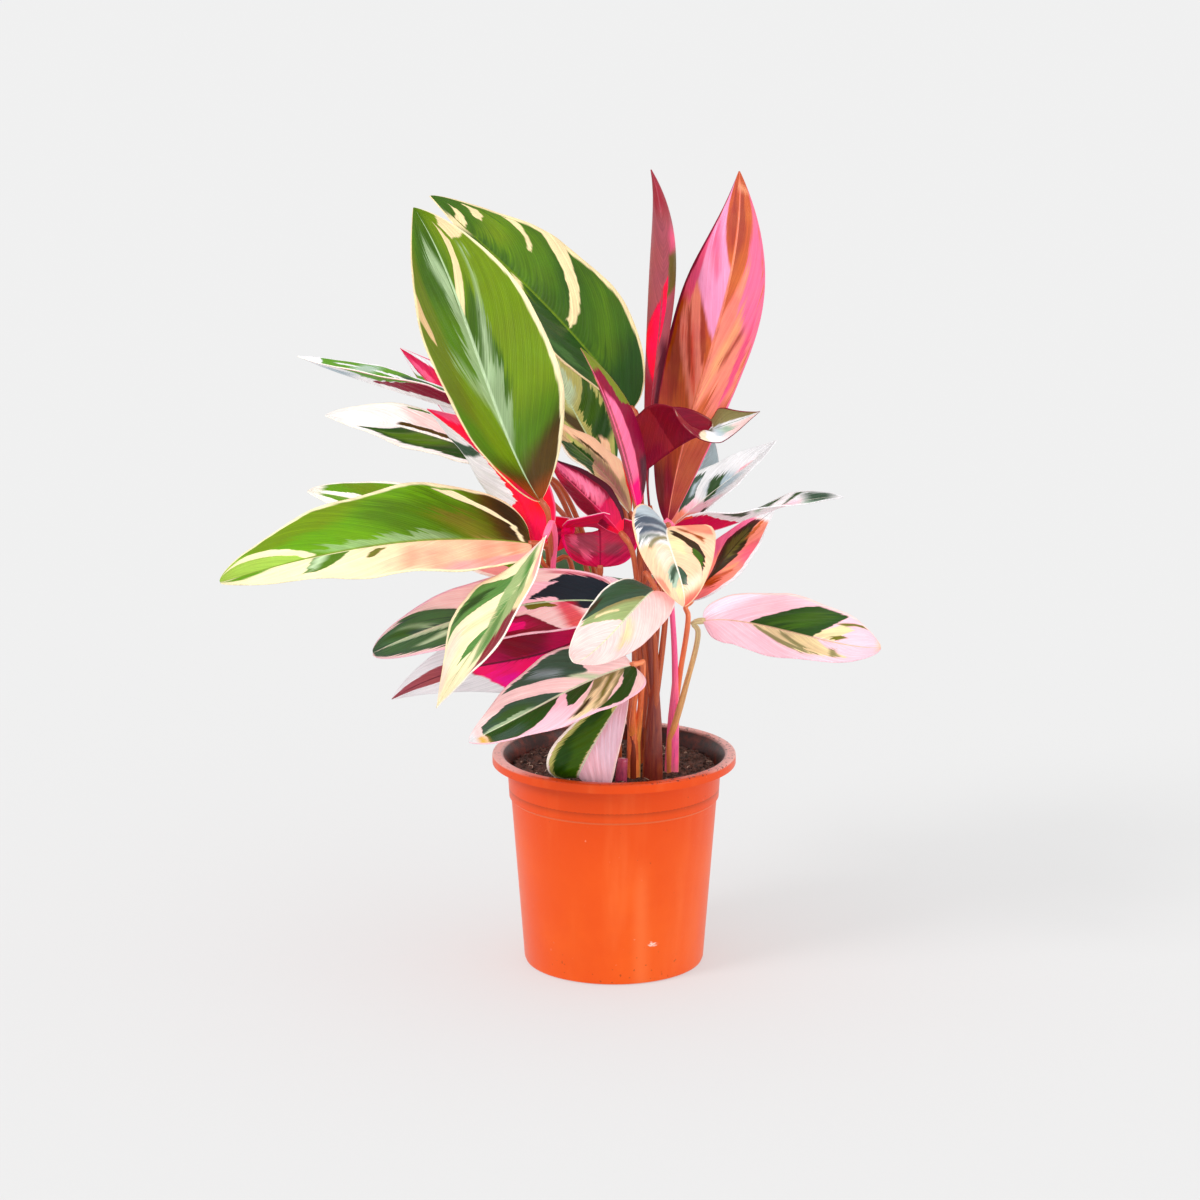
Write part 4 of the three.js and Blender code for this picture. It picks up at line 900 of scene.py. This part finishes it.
def blade_material(name, leaf, side, seed):
    """The variegated skin of a blade's upper side (0) or under side (1)."""
    material, s = new_material(f"{name}_{('upper', 'under')[side]}")
    lean, bend = leaf["veins"]
    here = s.add("ShaderNodeGroup", vein_group, Seed=float(seed), Lean=lean, Bend=bend)
    covers = [(patch_cover(s, here, numbers, bend), word) for word, numbers in read_patches(leaf["patches"])]
    left, right, left_width, right_width = leaf["margins"]
    edge = here["Across"] + here["Waver"].scaled(0.08, -0.04)
    covers.append((edge.rise(-1 + left_width + 0.03, -1 + left_width - 0.01), left))
    covers.append((edge.rise(1 - right_width - 0.03, 1 - right_width + 0.01), right))
    covers.append((here["Reach"].rise(0.036, 0.012, 0.0, 0.8), leaf["rib_colour"]))
    tone = s.coats(colour(PALETTE[leaf["base"]][side]),
                   *((cover, PALETTE[word][side]) for cover, word in covers))

    fine_veins = (here["Vein"] * (2 * math.pi * FINE_VEINS)).sine().scaled(0.5, 0.5) ** 2.5
    side_veins = here["Vein"].scaled(2 * math.pi * SIDE_VEINS, here["Waver"] * 2.0).sine().rise(0.9, 1.0)
    place = s.place()
    cloud = s.grain(place, 55.0, 3.0, 0.55)
    pores = s.grain(place, 2400.0)
    light = (here["Streak"].scaled(0.56, 0.70) + fine_veins.scaled(0.13, -0.05) + cloud.scaled(0.36, -0.15)
             + here["Hairline"].scaled(0.3, -0.15) + side_veins * 0.16)
    tone = s.shaded(tone, cloud.scaled(0.03, 0.485), light, saturation=1.06)
    # The blade gives off a faint painted glow of its own colour, which lifts its shaded parts.
    s.dress(tone, here["Streak"].scaled(0.16, (0.26, 0.34)[side]) + pores * 0.08,
            here["Streak"] + fine_veins * 0.3 + pores * 0.05, depth=0.0003, strength=0.75,
            Specular_IOR_Level=0.2, Coat_Weight=(0.05, 0.02)[side], Coat_Roughness=0.2,
            Emission_Color=tone, Emission_Strength=PAINTED_GLOW)
    return material


def stalk_material(name, tint):
    """Smooth, lengthwise streaked stalk, its tint changing from the foot to the blade."""
    material, s = new_material(name)
    along, turn = s.uv()
    streak = s.grain(s.join(along * 5.0, (turn * (2 * math.pi)).sine(), 0.0), 3.4, 3.0, 0.6, (0.35, 1.6, 1.0))
    speck = s.grain(s.place(), 700.0, 3.0, 0.65)
    reach = along + streak.scaled(0.3, -0.15)
    foot, middle, top = tint
    tone = s.coats(colour(foot), (reach.rise(0.02, 0.4), middle), (reach.rise(0.5, 0.98), top))
    tone = s.shaded(tone, streak.scaled(0.05, 0.475), streak.scaled(1.5, 0.25) + speck.scaled(0.4, -0.2))
    # The stalk gives off a faint painted glow of its own colour, which lifts its shaded parts.
    s.dress(tone, speck.scaled(0.2, 0.24), streak + speck * 0.3, depth=0.0003, Coat_Weight=0.1,
            Emission_Color=tone, Emission_Strength=PAINTED_GLOW)
    return material


def pot_material():
    """Satin orange plastic: drawn streaks, peat dust, a rim top pale at its sides and back, a scuff,
    painted shade and a peat stain inside, painted shade towards the top, and painted highlights.
    """
    material, s = new_material("pot_plastic")
    place = s.place()
    x, y, height = s.split(place)
    cloud = s.grain(place, 14.0, 4.0, 0.6)
    fine = s.grain(place, 900.0, 3.0, 0.7)
    drawn = s.grain(place, 60.0, 3.0, 0.6, (1.0, 1.0, 0.12))
    # Painted highlight: a soft upright streak of light on the pot's front, right of the middle.
    painted_highlight = abs(x - 0.015).rise(0.007, 0.0) * (height.rise(0.085, 0.05) * y.rise(0.0, -0.02))
    # Painted highlight: a thin lighter line round the step.
    painted_step_highlight = abs(height - (POT_HEIGHT - STEP_DROP + 0.5) * MM).rise(0.0009, 0.0003)
    dust = (s.grain(place, 420.0) + height.rise(0.04, 0.0) * 0.08).rise(0.74, 0.80)
    pale = s.grain(place, 520.0, 2.0, 0.6, (1.0, 1.0, 0.5)).rise(0.73, 0.78)

    flare = s.maths("MAXIMUM", height - (POT_HEIGHT - RIM_DROP) * MM, 0.0)
    wall = flare.scaled(0.84, (WALL_RADIUS_TOP - WALL_THICKNESS / 2) * MM)
    inside = s.maths("LESS_THAN", s.maths("SQRT", x * x + y * y), wall) * height.rise(0.1, 0.11)
    # Dark brown on the inside wall: painted shade, together with a mottled peat stain.
    inside_shade_and_stain = (s.grain(place, 120.0, 4.0, 0.7) + 0.1).rise(0.3, 0.7, 0.75, 1.0)
    rim = height.rise((POT_HEIGHT - 1.4) * MM, (POT_HEIGHT - 0.3) * MM)
    aside = (abs(x) + cloud * 0.03).rise(0.06, 0.08, 0.0, 0.6)
    behind = y.rise(0.02, 0.05, 0.0, 0.45)
    specks = s.grain(place, 560.0, 3.0, 0.6).rise(0.57, 0.61) * x.rise(0.0, 0.04, 0.3, 1.0)

    across = (x - SCUFF[0] * MM) / (SCUFF_SIZE[0] * MM)
    over = (height - SCUFF[1] * MM) / (SCUFF_SIZE[1] * MM)
    torn = s.grain(place, 700.0, 3.0, 0.7, (0.6, 1.0, 1.6)) * 4.0
    scuff = (across * across + over * over + torn).rise(2.5, 1.7) * y.rise(-0.01, -0.02)
    tone = s.coats(
        colour("ea5208"),
        (cloud.rise(0.35, 0.7), "f25e10"),
        # Painted shade: the wall grows darker and redder towards the top, under the lip.
        (height.rise(0.055, 0.115), "e24802"),
        (painted_highlight * 0.22, "ff9458"),
        (painted_step_highlight * 0.35, "ff9a68"),
        (drawn.rise(0.5, 0.8) * 0.22, "fa8444"),
        (dust * 0.45, "5a2c18"),
        (pale * 0.3, "ffc8a8"),
        (inside * inside_shade_and_stain, "34160f"),
        (rim * 0.5, "b4401c"),
        (rim * s.maths("MAXIMUM", aside, behind), "f0c8c0"),
        (rim * specks * 0.85, "2a1410"),
        (scuff * 0.85, "ffe6d6"),
    )
    s.dress(tone, cloud.scaled(0.2, 0.24), fine + cloud * 2.0, depth=0.00012, Specular_IOR_Level=0.25)
    return material


def soil_material():
    """Damp dark peat in crumbs of several browns."""
    material, s = new_material("peat")
    place = s.place()
    lumps = s.grain(place, 260.0, 5.0, 0.7)
    grit = s.grain(place, 1500.0, 3.0, 0.7)
    cells = s.add("ShaderNodeTexVoronoi", Vector=place, Scale=520.0)["Distance"]
    tone = s.coats(colour("28180f"), (lumps.rise(0.35, 0.65), "6a4638"),
                   (grit.rise(0.6, 0.72) * 0.5, "806252"))
    s.dress(tone, 0.92, lumps + (grit * 0.4 + cells * 0.5), depth=0.0012)
    return material


def fibre_material():
    """Pale dry root fibres and straw in the peat."""
    material, s = new_material("dry_fibre")
    grit = s.grain(s.place(), 1200.0, 3.0, 0.7)
    s.dress(s.coats(colour("8a6650"), (grit, "dcc4ac")), 0.85, grit, depth=0.0002)
    return material


# ------------------------------------------------------------------ making pieces
def finish_piece(name, bm, materials, node, slot):
    """Turns a bmesh in metres into a finished object that stands for a node of the frame."""
    mesh = bpy.data.meshes.new(name)
    bm.to_mesh(mesh)
    bm.free()
    mesh.shade_smooth()
    for material in materials:
        mesh.materials.append(material)
    piece = bpy.data.objects.new(name, mesh)
    bpy.context.scene.collection.objects.link(piece)
    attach(piece, "root")
    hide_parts(node)
    return piece


def leaf_slot(name):
    """The name of the finish that a leaf's colouring belongs to: pale, red or green."""
    if name in PALE_LEAVES:
        return "leaf_pale"
    return "leaf_red" if name in RED_LEAVES else "leaf_green"


def make_blade(name, leaf, seed):
    """A blade as a grid over its length and width, closer near foot and tip, then given thickness."""
    bm = bmesh.new()
    bmesh.ops.create_grid(bm, x_segments=BLADE_LENGTH_STEPS, y_segments=BLADE_WIDTH_STEPS, size=1)
    layer = bm.loops.layers.uv.new("UVMap")
    shares = [i / BLADE_LENGTH_STEPS for i in range(BLADE_LENGTH_STEPS + 1)]
    shares = [BLADE_END * (share - END_CROWDING * math.sin(2 * math.pi * share)) for share in shares]
    frames = [blade_frame(leaf, share) for share in shares]
    spots = {}
    for vert in bm.verts:
        row = round((vert.co.x + 1) / 2 * BLADE_LENGTH_STEPS)
        v = -vert.co.y
        spots[vert] = (shares[row], (v + 1) / 2)
        vert.co = MM * blade_point(leaf, shares[row], v, frames[row], seed)
    for face in bm.faces:
        for loop in face.loops:
            loop[layer].uv = spots[loop.vert]
    skins = [blade_material(name, leaf, side, seed) for side in (0, 1)]
    piece = finish_piece(name, bm, skins, f"leaf_{name}", leaf_slot(name))
    shell = piece.modifiers.new("thickness", "SOLIDIFY")
    shell.thickness = BLADE_THICKNESS * MM
    shell.offset = 0
    shell.material_offset = 1
    shell.use_even_offset = False


def add_tube(bm, path, radii, sides, skin=0, flutes=0.0, twist=0.0):
    """A closed tube round a path in millimetres, with a radius, rounder or fluted, for each point."""
    steps = len(path) - 1
    layer = bm.loops.layers.uv.verify()
    made = bmesh.ops.create_grid(bm, x_segments=steps, y_segments=sides, size=1)["verts"]
    headings = [(path[min(i + 1, steps)] - path[max(i - 1, 0)]).normalized() for i in range(steps + 1)]
    side = headings[0].orthogonal().normalized()
    rings = []
    for heading in headings:
        side = (side - heading * side.dot(heading)).normalized()
        rings.append((side, heading.cross(side)))
    spots = {}
    for vert in made:
        row = round((vert.co.x + 1) / 2 * steps)
        turn = (vert.co.y + 1) / 2
        angle = 2 * math.pi * turn + twist
        radius = radii[row] * (1 + flutes * math.sin(3 * angle + FLUTE_TWIST * row))
        spots[vert] = (row / steps, turn)
        out = rings[row][0] * math.cos(angle) + rings[row][1] * math.sin(angle)
        vert.co = MM * (path[row] + out * radius)
    faces = {face for vert in made for face in vert.link_faces}
    for face in faces:
        face.material_index = skin
        for loop in face.loops:
            loop[layer].uv = spots[loop.vert]
    bmesh.ops.remove_doubles(bm, verts=made, dist=0.01 * MM)
    rims = {edge for face in faces if face.is_valid for edge in face.edges if edge.is_boundary}
    caps = bmesh.ops.holes_fill(bm, edges=list(rims), sides=0)["faces"]
    for cap in caps:
        cap.material_index = skin
    bmesh.ops.recalc_face_normals(bm, faces=[face for face in faces if face.is_valid] + caps)


def add_sheath(bm, foot, top, shape, steps, flutes):
    """A fluted sheath or stub from deep in the soil up to its top, with radii that follow its shape."""
    x, y = foot["at"]
    middle = Vector((x, y, SOIL_LEVEL))
    path = smooth_path([middle - Vector((0, 0, STALK_DEPTH)), middle,
                        Vector((x + foot["lean"][0], y + foot["lean"][1], top))], steps)
    add_tube(bm, path, [foot["radius"] * part for part in tapered(shape, steps)], SHEATH_SIDES, flutes=flutes)


def make_clump(name, clump):
    """A sheath in the soil and the stalks that rise out of it to their leaves' feet."""
    bm = bmesh.new()
    add_sheath(bm, clump, SOIL_LEVEL + SHEATH_TOP, SHEATH_TAPER, SHEATH_STEPS, flutes=0.05)
    tints = [clump["tint"]]
    mine = [leaf for leaf in LEAVES.values() if leaf["clump"] == name]
    for i, leaf in enumerate(mine):
        tint = leaf.get("tint", USUAL_TINT)
        if tint not in tints:
            tints.append(tint)
        below, path = stalk_path(leaf, clump, 2 * math.pi * i / len(mine))
        low = [below.lerp(path[0], k / BURIED_STEPS) for k in range(BURIED_STEPS)]
        radii = [STALK_RADIUS * part for part in tapered(STALK_TAPER, STALK_STEPS)]
        radii[-3:] = [JOINT_RADIUS, JOINT_RADIUS, JOINT_RADIUS * 0.8]
        add_tube(bm, low + path, [BURIED_RADIUS] * BURIED_STEPS + radii, STALK_SIDES,
                 tints.index(tint), twist=i)
    skins = [stalk_material(f"stalk_{name}_{tint}", STALK_TINTS[tint]) for tint in tints]
    finish_piece(f"stalks_{name}", bm, skins, f"stalks_{name}", "stalk")


def make_stub(name, stub):
    """The cut end of an old stalk or sheath, standing in the soil."""
    bm = bmesh.new()
    add_sheath(bm, stub, stub["top"], STUB_TAPER, STUB_STEPS, flutes=0.06)
    finish_piece(name, bm, [stalk_material(name, STALK_TINTS[stub["tint"]])], name, "stub")


def turned(profile, steps):
    """A body turned round the pot's axis from a profile of (radius, height) in millimetres."""
    bm = bmesh.new()
    verts = [bm.verts.new((r * MM, 0, z * MM)) for r, z in profile]
    edges = [bm.edges.new(pair) for pair in zip(verts, verts[1:])]
    bmesh.ops.spin(bm, geom=verts + edges, cent=(0, 0, 0), axis=(0, 0, 1), angle=2 * math.pi,
                   steps=steps, use_merge=True)
    bmesh.ops.remove_doubles(bm, verts=bm.verts, dist=0.005 * MM)
    bmesh.ops.recalc_face_normals(bm, faces=bm.faces)
    return bm


def drain_holes():
    """The drain holes' cylinders, in metres, to be cut from the pot's floor."""
    holes = bmesh.new()
    for i in range(DRAIN_HOLES):
        turn = Matrix.Rotation(2 * math.pi * (i + 0.5) / DRAIN_HOLES, 4, "Z")
        bmesh.ops.create_cone(holes, cap_ends=True, segments=DRAIN_SIDES, radius1=DRAIN_RADIUS * MM,
                              radius2=DRAIN_RADIUS * MM, depth=CUTTER_DEPTH * MM,
                              matrix=turn @ Matrix.Translation((DRAIN_RING * MM, 0, 0)))
    mesh = bpy.data.meshes.new("drain_holes")
    holes.to_mesh(mesh)
    holes.free()
    cutter = bpy.data.objects.new("drain_holes", mesh)
    bpy.context.scene.collection.objects.link(cutter)
    return cutter


def make_pot():
    """The turned pot with its rounded lip and step, and the drain holes cut through its floor."""
    step_height = POT_HEIGHT - STEP_DROP
    lip_bottom = POT_HEIGHT - RIM_DROP
    shelf = POT_HEIGHT - LIP_THICKNESS
    profile = [
        (0, 0), (BASE_RADIUS - BASE_ROUNDING, 0), (BASE_RADIUS - 0.7, 0.7), (BASE_RADIUS, BASE_ROUNDING),
        (STEP_RADIUS, step_height), (STEP_RADIUS + STEP_WIDTH, step_height + STEP_WIDTH),
        (WALL_RADIUS_TOP, lip_bottom - 0.6), (RIM_INNER_RADIUS + 1.1, shelf),
        (RIM_RADIUS - LIP_THICKNESS, shelf), (RIM_RADIUS - LIP_THICKNESS, lip_bottom),
        (RIM_RADIUS, lip_bottom), (RIM_RADIUS, POT_HEIGHT), (RIM_INNER_RADIUS, POT_HEIGHT),
        (WALL_RADIUS_TOP - WALL_THICKNESS, lip_bottom - 0.4),
        (STEP_RADIUS + STEP_WIDTH - WALL_THICKNESS, step_height + 1.5),
        (STEP_RADIUS - WALL_THICKNESS, step_height - 1),
        (BASE_RADIUS - WALL_THICKNESS, FLOOR_THICKNESS + 2),
        (BASE_RADIUS - WALL_THICKNESS - 2, FLOOR_THICKNESS), (0, FLOOR_THICKNESS),
    ]
    bm = turned(profile, POT_STEPS)
    rims = [edge for edge in bm.edges
            if all(vert.co.z > (POT_HEIGHT - 0.1) * MM for vert in edge.verts)
            and abs(edge.verts[0].co.xy.length - edge.verts[1].co.xy.length) < 0.1 * MM]
    bmesh.ops.bevel(bm, geom=rims, offset=LIP_ROUNDING * MM, segments=5, profile=0.5, affect="EDGES",
                    material=-1)
    cutter = drain_holes()
    pot = finish_piece("nursery_pot", bm, [pot_material()], "pot", "pot_plastic")
    cut = pot.modifiers.new("drain", "BOOLEAN")
    cut.object = cutter
    cut.operation = "DIFFERENCE"
    cut.solver = "EXACT"
    whole = bpy.data.meshes.new_from_object(pot.evaluated_get(bpy.context.evaluated_depsgraph_get()))
    pot.modifiers.clear()
    pot.data = whole
    bpy.data.objects.remove(cutter)
    whole.set_sharp_from_angle(angle=math.radians(POT_SHARP_ANGLE))


def swell(x, y):
    """The broad rise and fall of the soil at a place."""
    return noise.noise(Vector((x * 0.22, y * 0.22, 3)))


def add_crumb(bm, draw, reach):
    """One angular crumb of peat, half sunk at a random place on the soil."""
    size = CRUMB_RADIUS + CRUMB_GROWTH * draw.random() ** 3
    distance = (reach - 1.4) * draw.random() ** 0.5
    angle = draw.uniform(0, 2 * math.pi)
    x, y = distance * math.cos(angle), distance * math.sin(angle)
    turn = Euler([draw.uniform(0, 6.3) for _ in range(3)]).to_matrix().to_4x4()
    squash = Matrix.Diagonal((1, draw.uniform(0.6, 1), draw.uniform(0.5, 0.9), 1))
    place = Matrix.Translation((x * MM, y * MM, (SOIL_LEVEL + 0.3 + 1.2 * swell(x, y)) * MM))
    made = bmesh.ops.create_icosphere(bm, subdivisions=1, radius=size * MM, matrix=place @ turn @ squash)
    for vert in made["verts"]:
        vert.co += Vector([draw.uniform(-0.2, 0.2) * size * MM for _ in range(3)])


def add_fibre(bm, draw, reach):
    """One short bent fibre that lies on the soil."""
    distance = (reach - 5) * draw.random() ** 0.5
    angle = draw.uniform(0, 2 * math.pi)
    at = Vector((distance * math.cos(angle), distance * math.sin(angle), SOIL_LEVEL + 0.9))
    heading = draw.uniform(0, 2 * math.pi)
    length = draw.uniform(*FIBRE_LENGTHS)
    ahead = Vector((math.cos(heading), math.sin(heading), draw.uniform(-0.1, 0.25))) * length
    bend = Vector((-ahead.y, ahead.x, 0.6 * length)) * draw.uniform(0.1, 0.4)
    path = smooth_path([at, at + ahead * 0.5 + bend, at + ahead], 6)
    add_tube(bm, path, [0.16, 0.2, 0.2, 0.2, 0.2, 0.16, 0.1], 5, skin=1)


def make_soil():
    """The peat inside the pot, with an uneven top under crumbs and dry fibres."""
    step_height = POT_HEIGHT - STEP_DROP
    low = FLOOR_THICKNESS + SOIL_GAP
    edge = WALL_RADIUS_TOP - WALL_THICKNESS - 2 * SOIL_GAP
    profile = [
        (0, low), (BASE_RADIUS - WALL_THICKNESS - 2.3, low),
        (BASE_RADIUS - WALL_THICKNESS - SOIL_GAP, low + 2),
        (STEP_RADIUS - WALL_THICKNESS - SOIL_GAP, step_height - 1),
        (STEP_RADIUS + STEP_WIDTH - WALL_THICKNESS - SOIL_GAP, step_height + 1.8), (edge, SOIL_LEVEL - 3),
    ]
    profile += [(edge * (SOIL_RINGS - i) / SOIL_RINGS, SOIL_LEVEL) for i in range(1, SOIL_RINGS + 1)]
    bm = turned(profile, SOIL_STEPS)
    for vert in bm.verts:
        if vert.co.z > (SOIL_LEVEL - 0.5) * MM:
            x, y = vert.co.x / MM, vert.co.y / MM
            rough = swell(x, y) + 0.7 * noise.noise(Vector((x * 0.6, y * 0.6, 8)))
            rough += 0.5 * noise.noise(Vector((x * 1.4, y * 1.4, 2)))
            vert.co.z += rough * SOIL_ROUGHNESS * MM
    draw = random.Random(SOIL_SEED)
    for _ in range(CRUMBS):
        add_crumb(bm, draw, edge)
    for _ in range(FIBRES):
        add_fibre(bm, draw, edge)
    finish_piece("peat", bm, [soil_material(), fibre_material()], "soil", "peat")


# ------------------------------------------------------------------ the plant in its pot
make_pot()
make_soil()
for name, stub in STUBS.items():
    make_stub(name, stub)
for name, clump in CLUMPS.items():
    make_clump(name, clump)
for seed, (name, leaf) in enumerate(LEAVES.items()):
    make_blade(name, leaf, seed)


# ------------------------------------------------------------------ stage, light and camera
def add_floor():
    """A wide pale floor with a faint glow of its own, so that it meets the studio without an edge."""
    bm = bmesh.new()
    bmesh.ops.create_grid(bm, x_segments=1, y_segments=1, size=FLOOR_HALF_SIZE)
    mesh = bpy.data.meshes.new("floor")
    bm.to_mesh(mesh)
    bm.free()
    floor = bpy.data.objects.new("floor", mesh)
    bpy.context.scene.collection.objects.link(floor)
    material, s = new_material("pale_floor")
    s.skin(Base_Color=(FLOOR_GREY, FLOOR_GREY, FLOOR_GREY, 1), Emission_Color=(1, 1, 1, 1),
           Emission_Strength=FLOOR_GLOW, Roughness=1.0, Specular_IOR_Level=0.0)
    mesh.materials.append(material)


def add_sun(name, strength, spread, elevation, azimuth, casts_shadow=True):
    """Wide, far light; azimuth 0 comes from the viewer's side and grows towards the right."""
    light = bpy.data.lights.new(name, "SUN")
    light.energy = strength
    light.angle = math.radians(spread)
    light.use_shadow = casts_shadow
    lamp = bpy.data.objects.new(name, light)
    lamp.rotation_euler = (math.radians(90 - elevation), 0, math.radians(azimuth))
    bpy.context.scene.collection.objects.link(lamp)


add_floor()
add_sun("window_light", strength=1.2, spread=20, elevation=38, azimuth=-55)
add_sun("softbox", strength=1.0, spread=26, elevation=32, azimuth=57, casts_shadow=False)

world = bpy.data.worlds.new("studio")
world.use_nodes = True
world.node_tree.nodes["Background"].inputs["Color"].default_value = (1, 1, 1, 1)
world.node_tree.nodes["Background"].inputs["Strength"].default_value = STUDIO_LIGHT
scene = bpy.context.scene
scene.world = world
scene.view_settings.view_transform = "Standard"
scene.view_settings.look = "None"

camera_data = bpy.data.cameras.new("camera")
camera_data.lens = CAMERA_LENS
camera_data.sensor_width = CAMERA_SENSOR
camera_data.clip_end = 100
camera = bpy.data.objects.new("camera", camera_data)
camera.location = Vector(CAMERA_AT) * MM
camera.rotation_euler = (math.radians(90 - CAMERA_DIP), 0, 0)
scene.collection.objects.link(camera)
scene.camera = camera
